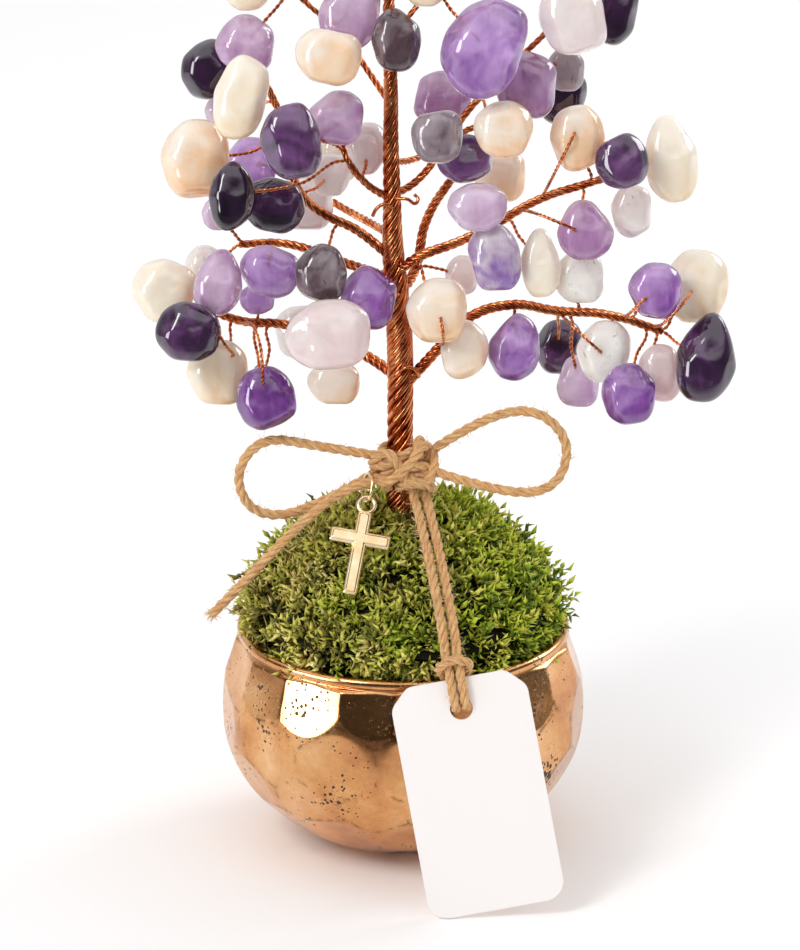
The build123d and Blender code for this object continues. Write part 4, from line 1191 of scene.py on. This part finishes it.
def makeBed(material):  # the frame's mound, merged, rounded and drawn in under the sprigs
    mesh = bpy.data.meshes.new("bedShape")
    work = mergedNode("moss_mound")
    work.to_mesh(mesh)
    work.free()
    bed = linkMesh("bedShape", mesh)
    remesh = bed.modifiers.new("even", "REMESH")
    remesh.mode = "VOXEL"
    remesh.voxel_size = mound["voxel"]
    soften = bed.modifiers.new("soften", "SMOOTH")
    soften.iterations = mound["softenRounds"]
    soften.factor = mound["softenShare"]
    shrink = bed.modifiers.new("shrink", "DISPLACE")
    shrink.strength = -mound["sink"]
    shrink.mid_level = 0.0
    return plainMesh(bed, "moss_bed", material)


def growMoss(name, bed, count, seed, sprigs, group):
    field = linkMesh(name + "Field", bed.data.copy())
    area = sum(face.area for face in field.data.polygons)
    material = makeMossMaterial(name, mossTones[name])
    addNodes(field, group, {**moss["inputs"], "Sprigs": sprigs, "Density": count / area, "Seed": seed,
                            "Material": material})
    return plainMesh(field, name, material)


mossRandom = random.Random(moss["seed"])
sprigKinds = bpy.data.collections.new("sprigKinds")
for kind in range(sprigPlan["kinds"]):
    sprigKinds.objects.link(makeSprig(f"sprig{kind}", kind, mossRandom))
mossBed = makeBed(makeMossMaterial("mossBed", (bedTones, bedTones)))
mossGroup = makeMossTree("mossField")
for name, count, seed in moss["pieces"]:
    dress(growMoss(name, mossBed, count, seed, sprigKinds, mossGroup), "tree")
for sprig in list(sprigKinds.objects):
    bpy.data.objects.remove(sprig)
dress(mossBed, "tree", "moss_mound")
print("moss ready")


# Knot and hitch: listed runs of the same twine
knotRuns = (
    ((-6.2, -8.2, 81.6), (-5.2, -10.0, 84.0), (-3.0, -11.2, 85.0), (-0.9, -12.0, 82.8), (0.2, -12.3, 80.0),
     (1.2, -11.2, 77.8)),
    ((4.9, -8.4, 85.6), (3.8, -10.6, 86.0), (2.0, -12.1, 84.0), (-0.6, -12.9, 81.4), (-3.2, -12.0, 79.4),
     (-5.2, -10.2, 79.0)),
    ((4.6, -7.0, 85.2), (6.1, -9.2, 83.6), (5.8, -11.2, 81.0), (4.2, -12.4, 79.2), (2.0, -12.3, 79.8),
     (0.4, -10.8, 81.4)),
    ((2.6, -8.6, 82.0), (2.8, -10.6, 84.8), (2.9, -9.8, 85.9), (3.2, -7.0, 86.1), (3.4, -3.8, 85.0),
     (3.4, -1.0, 83.4)),
    ((5.0, -10.2, 81.8), (3.0, -11.8, 82.6), (0.8, -11.9, 82.2), (-1.6, -11.2, 80.0), (-3.4, -9.8, 77.8),
     (-3.0, -7.6, 76.4)),
    ((-5.8, -6.2, 80.0), (-5.4, -8.6, 81.6), (-3.6, -10.4, 82.2), (-1.2, -10.6, 83.6), (1.2, -10.2, 84.8),
     (3.4, -8.2, 84.4)),
    ((-0.8, -9.4, 77.2), (-0.4, -11.6, 78.4), (1.4, -13.0, 79.3), (3.8, -12.9, 79.1), (5.5, -11.5, 78.0),
     (5.9, -9.2, 76.8)),
    ((3.0, -5.6, 79.0), (5.4, -8.0, 79.4), (5.8, -10.0, 80.2), (3.6, -11.0, 80.6), (1.0, -10.6, 80.0),
     (-1.6, -8.2, 78.6)),
    ((-6.2, -7.2, 78.4), (-4.6, -9.6, 79.4), (-2.6, -10.6, 80.6), (-1.0, -9.4, 82.2)),
    ((3.0, -6.5, 81.5), (4.9, -8.8, 82.6), (5.0, -8.0, 84.4), (3.6, -5.6, 85.0)),
    ((-3.4, -6.6, 82.4), (-4.2, -2.6, 82.2), (-3.2, 1.9, 81.9), (-0.2, 3.8, 81.7), (2.8, 2.3, 81.5),
     (3.8, -1.4, 81.4), (3.2, -6.0, 81.6)),
    ((-3.2, -6.8, 80.0), (-4.0, -2.4, 79.7), (-3.0, 2.1, 79.6), (-0.1, 3.8, 79.5), (2.7, 2.4, 79.5),
     (3.8, -1.2, 79.6), (3.4, -6.2, 80.2)),
)
tag = {"length": 46.8 * mm, "thickness": 0.8 * mm, "lean": math.radians(13), "roll": math.radians(10.5),
       "collar": (9.916 * mm, -34.928 * mm, 49.092 * mm), "collarRise": 2.5 * mm}
hitchStrand = ((1.14, 52.8, -0.4), (1.12, 51.2, 0.5), (1.06, 49.4, 1.6), (1.06, 46.5, 1.95),
               (1.06, 43.6, 1.95), (1.05, 41.9, 1.6), (1.03, 40.9, 0.4), (1.05, 41.9, -0.8),
               (1.06, 43.6, -1.15), (1.2, 45.4, -1.15), (2.0, 47.0, -1.1), (2.75, 48.4, -0.6))
hitchArch = ((-2.75, 48.4, -0.6), (-3.0, 49.2, 0.7), (-2.5, 50.0, 2.2), (-1.3, 50.7, 3.1), (0, 50.95, 3.35),
             (1.3, 50.7, 3.1), (2.5, 50.0, 2.2), (3.0, 49.2, 0.7), (2.75, 48.4, -0.6))
laidRope = {**twineRope, "Phase": 1.0}


def fromTag(across, up, out):  # millimetres in the tag's own plane, from the middle of its foot
    sine, cosine = math.sin(tag["lean"]), math.cos(tag["lean"])
    right = Vector((math.cos(tag["roll"]), math.sin(tag["roll"]) * sine, math.sin(tag["roll"]) * cosine))
    high = Vector((-math.sin(tag["roll"]), math.cos(tag["roll"]) * sine, math.cos(tag["roll"]) * cosine))
    face = Vector((0, -cosine, sine))
    middle = Vector(tag["collar"])
    rise = up * mm - tag["length"] - tag["collarRise"]
    return middle + right * across * mm + high * rise + face * (out * mm - tag["thickness"] / 2)


def layTwine(node, body, runs, seed, hairCount):  # the runs as one piece, and their fuzz as a second
    lines = [smoothLine(run) for run in runs]
    dress(windRope(node + "_twine", lines, laidRope, twineMaterial), body, node)
    rng = random.Random(seed)
    hairs = []
    for line in lines:
        hairs += [hair for hair in fuzzHairs(line, hairCount, rng) if clearOfRing(hair)]
    dress(hairMesh(node + "_twine_fuzz", hairs), body)


hitchRuns = [[fromTag(side * across, up, out) for across, up, out in hitchStrand] for side in (-1, 1)]
hitchRuns.append([fromTag(*place) for place in hitchArch])
knotLines = [[Vector(point) * mm for point in run] for run in knotRuns]
layTwine("bow_knot", "tree", knotLines, seed=31, hairCount=46)
layTwine("tag_hitch", "tag", hitchRuns, seed=37, hairCount=40)
print("knot ready")


# Cross charm: a bevelled plate with a raised face, and a round eyelet
charm = {"height": 17 * mm, "width": 12 * mm, "arm": 2.8 * mm, "thickness": 1.1 * mm, "barShare": 0.68,
         "border": 0.4 * mm, "raise": 0.35 * mm, "bevel": 0.24 * mm, "rounding": 0.5 * mm,
         "innerRounding": 0.12 * mm, "overlap": 0.5 * mm, "tilt": math.radians(-10.5),
         "lean": math.radians(34), "hinge": (-7.064 * mm, -12.859 * mm, 75.518 * mm)}
eyelet = {"drop": 0.75 * mm, "radius": 2 * mm, "ring": 1.62 * mm, "wire": 0.4 * mm, "depthShare": 1.15,
          "turns": 48, "sides": 14}


def crossOutline(inset):
    half, end = charm["arm"] / 2 - inset, charm["width"] / 2 - inset
    top, foot = -inset, -charm["height"] + inset
    bar = -charm["height"] * (1 - charm["barShare"])
    outerRounding = charm["rounding"] * max(0.3, 1 - inset / charm["arm"] * 2)
    corners = ((half, top, 1), (half, bar + half, 0), (end, bar + half, 1), (end, bar - half, 1),
               (half, bar - half, 0), (half, foot, 1), (-half, foot, 1), (-half, bar - half, 0),
               (-end, bar - half, 1), (-end, bar + half, 1), (-half, bar + half, 0), (-half, top, 1))
    points = []
    for spot, (x, y, outer) in enumerate(corners):
        here = Vector((x, y))
        reach = outerRounding if outer else charm["innerRounding"]
        neighbours = [Vector(corners[near % len(corners)][:2]) for near in (spot - 1, spot + 1)]
        start, stop = [here + (near - here).normalized() * reach for near in neighbours]
        for share in (0.0, 0.2, 0.4, 0.6, 0.8, 1.0):
            points.append(start.lerp(here, share).lerp(here.lerp(stop, share), share))
    return points


def makeCross():
    half, bevel, border, lift = charm["thickness"] / 2, charm["bevel"], charm["border"], charm["raise"]
    front = ((border + bevel, half + lift), (border, half + lift - bevel), (border, half), (bevel, half),
             (0.0, half - bevel))
    levels = front + tuple((inset, -out) for inset, out in reversed(front))
    drop = -eyelet["drop"] - eyelet["radius"] + charm["overlap"]
    points, faces = [], []
    for inset, out in levels:
        points += [Vector((x, y + drop, out)) for x, y in crossOutline(inset)]
    count = len(points) // len(levels)
    for level in range(len(levels) - 1):
        for spot in range(count):
            after = (spot + 1) % count
            low, high = level * count, (level + 1) * count
            faces.append((low + spot, low + after, high + after, high + spot))
    faces.append(tuple(reversed(range(count))))
    faces.append(tuple(range(len(points) - count, len(points))))
    return points, faces


def makeEyelet(first):
    turns, sides = eyelet["turns"], eyelet["sides"]
    points, faces = [], []
    for step in range(turns):
        turn = 2 * math.pi * step / turns
        for side in range(sides):
            angle = 2 * math.pi * side / sides
            radius = eyelet["ring"] + eyelet["wire"] * math.cos(angle)
            points.append(Vector((radius * math.cos(turn), radius * math.sin(turn) - eyelet["drop"],
                                  eyelet["wire"] * eyelet["depthShare"] * math.sin(angle))))
            low, high = step * sides, (step + 1) % turns * sides
            after = (side + 1) % sides
            faces.append([first + spot for spot in (low + side, high + side, high + after, low + after)])
    return points, faces


def makeCharmMesh():
    points, faces = makeCross()
    ringPoints, ringFaces = makeEyelet(len(points))
    right = Vector((1, 0, 0))
    face = Vector((0, -math.cos(charm["lean"]), math.sin(charm["lean"])))
    up = face.cross(right)
    turned = Matrix.Rotation(charm["tilt"], 3, "Z")
    places = [turned @ point for point in points + ringPoints]
    places = [Vector(charm["hinge"]) + right * place.x + up * place.y + face * place.z for place in places]
    return meshFrom("cross", places, faces + ringFaces)


def makeGold():
    material, tree = newMaterial("paleGold")
    place = coords(tree)
    grain = tree.noise(place, 1.2, 3.0, 0.6)
    wear = tree.noise(place, 0.3, 2.0)
    colour = tree.ramp(wear * 0.7 + grain * 0.3, (
        (0.35, (0.9, 0.66, 0.36)), (0.55, (0.97, 0.78, 0.5)), (0.7, (1.0, 0.86, 0.62))))
    finishMaterial(tree, {"Base Color": colour, "Metallic": 1.0, "Roughness": 0.24 + grain * 0.06,
                          "Normal": tree.bump(wear, 0.08, 0.1 * mm)})
    return material


goldMaterial = makeGold()
charmPiece = linkMesh("cross_charm_gold", makeCharmMesh(), goldMaterial, smooth=False)
dress(charmPiece, "charm", "cross_charm")


# Card and planting compound, on the frame's own solids
def makeCard():
    material, tree = newMaterial("blankCard")
    place = coords(tree)
    fibre = tree.noise(place, 1.6, 5.0, 0.7)
    cloud = tree.noise(place, 0.05, 2.0)
    colour = tree.mix(fibre * 0.12 + cloud * 0.15, (0.94, 0.9, 0.88, 1), (0.86, 0.81, 0.785, 1))
    finishMaterial(tree, {"Base Color": colour, "Roughness": 0.75, "Specular IOR Level": 0.2,
                          "Normal": tree.bump(fibre, 0.08, 0.05 * mm)})
    return material


def makeCompound():
    material, tree = newMaterial("plantingCompound")
    grain = tree.noise(coords(tree), 0.8, 4.0, 0.7)
    colour = tree.ramp(grain, ((0.35, (0.05, 0.035, 0.025)), (0.6, (0.16, 0.12, 0.09))))
    finishMaterial(tree, {"Base Color": colour, "Roughness": 0.9, "Normal": tree.bump(grain, 0.6, 0.4 * mm)})
    return material


solidMaterials = {"jump_ring": goldMaterial, "tag": makeCard(), "planting_compound": makeCompound()}
for name, material in solidMaterials.items():
    solid = frame["nodes"][name]
    solid.data.materials.clear()
    solid.data.materials.append(material)
print("charm ready")


# Floor, light and background: what shines sees a dark room, a bright panel and a white wall
# the floor's dark colour for reflections, and where it starts, are painted reflection
floor = {"size": 4.0, "colour": (0.975, 0.97, 0.975, 1), "paleColour": (0.985, 0.982, 0.986, 1),
         "paintedReflectionColour": (0.1, 0.1, 0.1, 1), "paintedReflectionFrom": (0.07, 0.2)}
sky = {"level": 0.85,
       "softStops": ((0.0, (0.42, 0.42, 0.43)), (0.35, (0.68, 0.68, 0.69)), (0.7, (1, 1, 1))),
       "wallStops": ((0.1, (0.08, 0.08, 0.08)), (0.57, (0.17, 0.16, 0.15)), (0.68, (0.5, 0.5, 0.51)),
                     (0.8, (0.85, 0.85, 0.86))),
       "panelWay": (-0.876, -0.462, 0.133), "panelEdges": (0.945, 0.965), "panelLevel": 9.0,
       "ceilingEdges": (0.5, 0.68), "ceilingLevel": 1.35}
lamps = (("keyLamp", (-0.55, -0.62, 0.78), (0.3, 0.46), 4.6), ("rimLamp", (0.7, 0.5, 0.55), (0.4, 0.4), 2.6))


def makeFloorMaterial(plan):
    material, tree = newMaterial("paleFloor")
    grain = tree.noise(coords(tree), 0.02, 2.0)
    pale = tree.mix(grain * 0.3, plan["colour"], plan["paleColour"])
    # painted reflection: in reflections the floor in front of the object turns dark grey, standing in for a
    # dark room
    place = tree.node("ShaderNodeTexCoord", {}, {}, "Object")
    depth = tree.node("ShaderNodeSeparateXYZ", {}, {"Vector": place}, "Y")
    front = tree.remap(depth * -1, *plan["paintedReflectionFrom"])
    mirrored = front * tree.node("ShaderNodeLightPath", {}, {}, "Is Glossy Ray")
    finishMaterial(tree, {"Base Color": tree.mix(mirrored, pale, plan["paintedReflectionColour"]), "Roughness": 0.9,
                          "Specular IOR Level": 0.1})
    return material


def makeFloor(plan):
    half = plan["size"] / 2
    places = [(-half, -half, 0), (half, -half, 0), (half, half, 0), (-half, half, 0)]
    mesh = meshFrom("floor", places, [(0, 1, 2, 3)])
    linkMesh("floor", mesh, makeFloorMaterial(plan), smooth=False)


def grey(level):
    return (level, level, level, 1)


def makeSky(plan):
    world = bpy.data.worlds.new("studioSky")
    world.use_nodes = True
    world.node_tree.nodes.clear()
    tree = NodeTree(world.node_tree)
    way = tree.node("ShaderNodeTexCoord", {}, {}, "Generated")
    parts = tree.node("ShaderNodeSeparateXYZ", {}, {"Vector": way})
    back = parts.other("Y") * 0.5 + 0.5
    height = tree.maths("MAXIMUM", parts.other("Z"), 0.0)
    soft = tree.mix(height, tree.ramp(back, plan["softStops"]), grey(1))
    above = tree.remap(height, *plan["ceilingEdges"])
    room = tree.mix(above, tree.ramp(back, plan["wallStops"]), grey(plan["ceilingLevel"]))
    panel = tree.remap(tree.measure("DOT_PRODUCT", way, plan["panelWay"]), *plan["panelEdges"])
    mirrored = tree.mix(panel, room, grey(plan["panelLevel"]))
    rays = tree.node("ShaderNodeLightPath")
    seen = tree.mix(rays.other("Is Glossy Ray"), soft, mirrored)
    colour = tree.mix(rays.other("Is Camera Ray"), seen, grey(1 / plan["level"]))
    shade = tree.node("ShaderNodeBackground", {}, {"Color": colour, "Strength": plan["level"]})
    tree.node("ShaderNodeOutputWorld", {}, {"Surface": shade})
    bpy.context.scene.world = world


def makeLamp(name, place, size, energy):
    data = bpy.data.lights.new(name, "AREA")
    data.shape = "RECTANGLE"
    data.size, data.size_y = size
    data.energy = energy
    lamp = bpy.data.objects.new(name, data)
    bpy.context.scene.collection.objects.link(lamp)
    lamp.location = place
    lamp.rotation_euler = (photoMiddle - Vector(place)).to_track_quat("-Z", "Y").to_euler()


makeFloor(floor)
makeSky(sky)
for lamp in lamps:
    makeLamp(*lamp)
bpy.context.scene.view_settings.view_transform = "Standard"
print("studio ready")
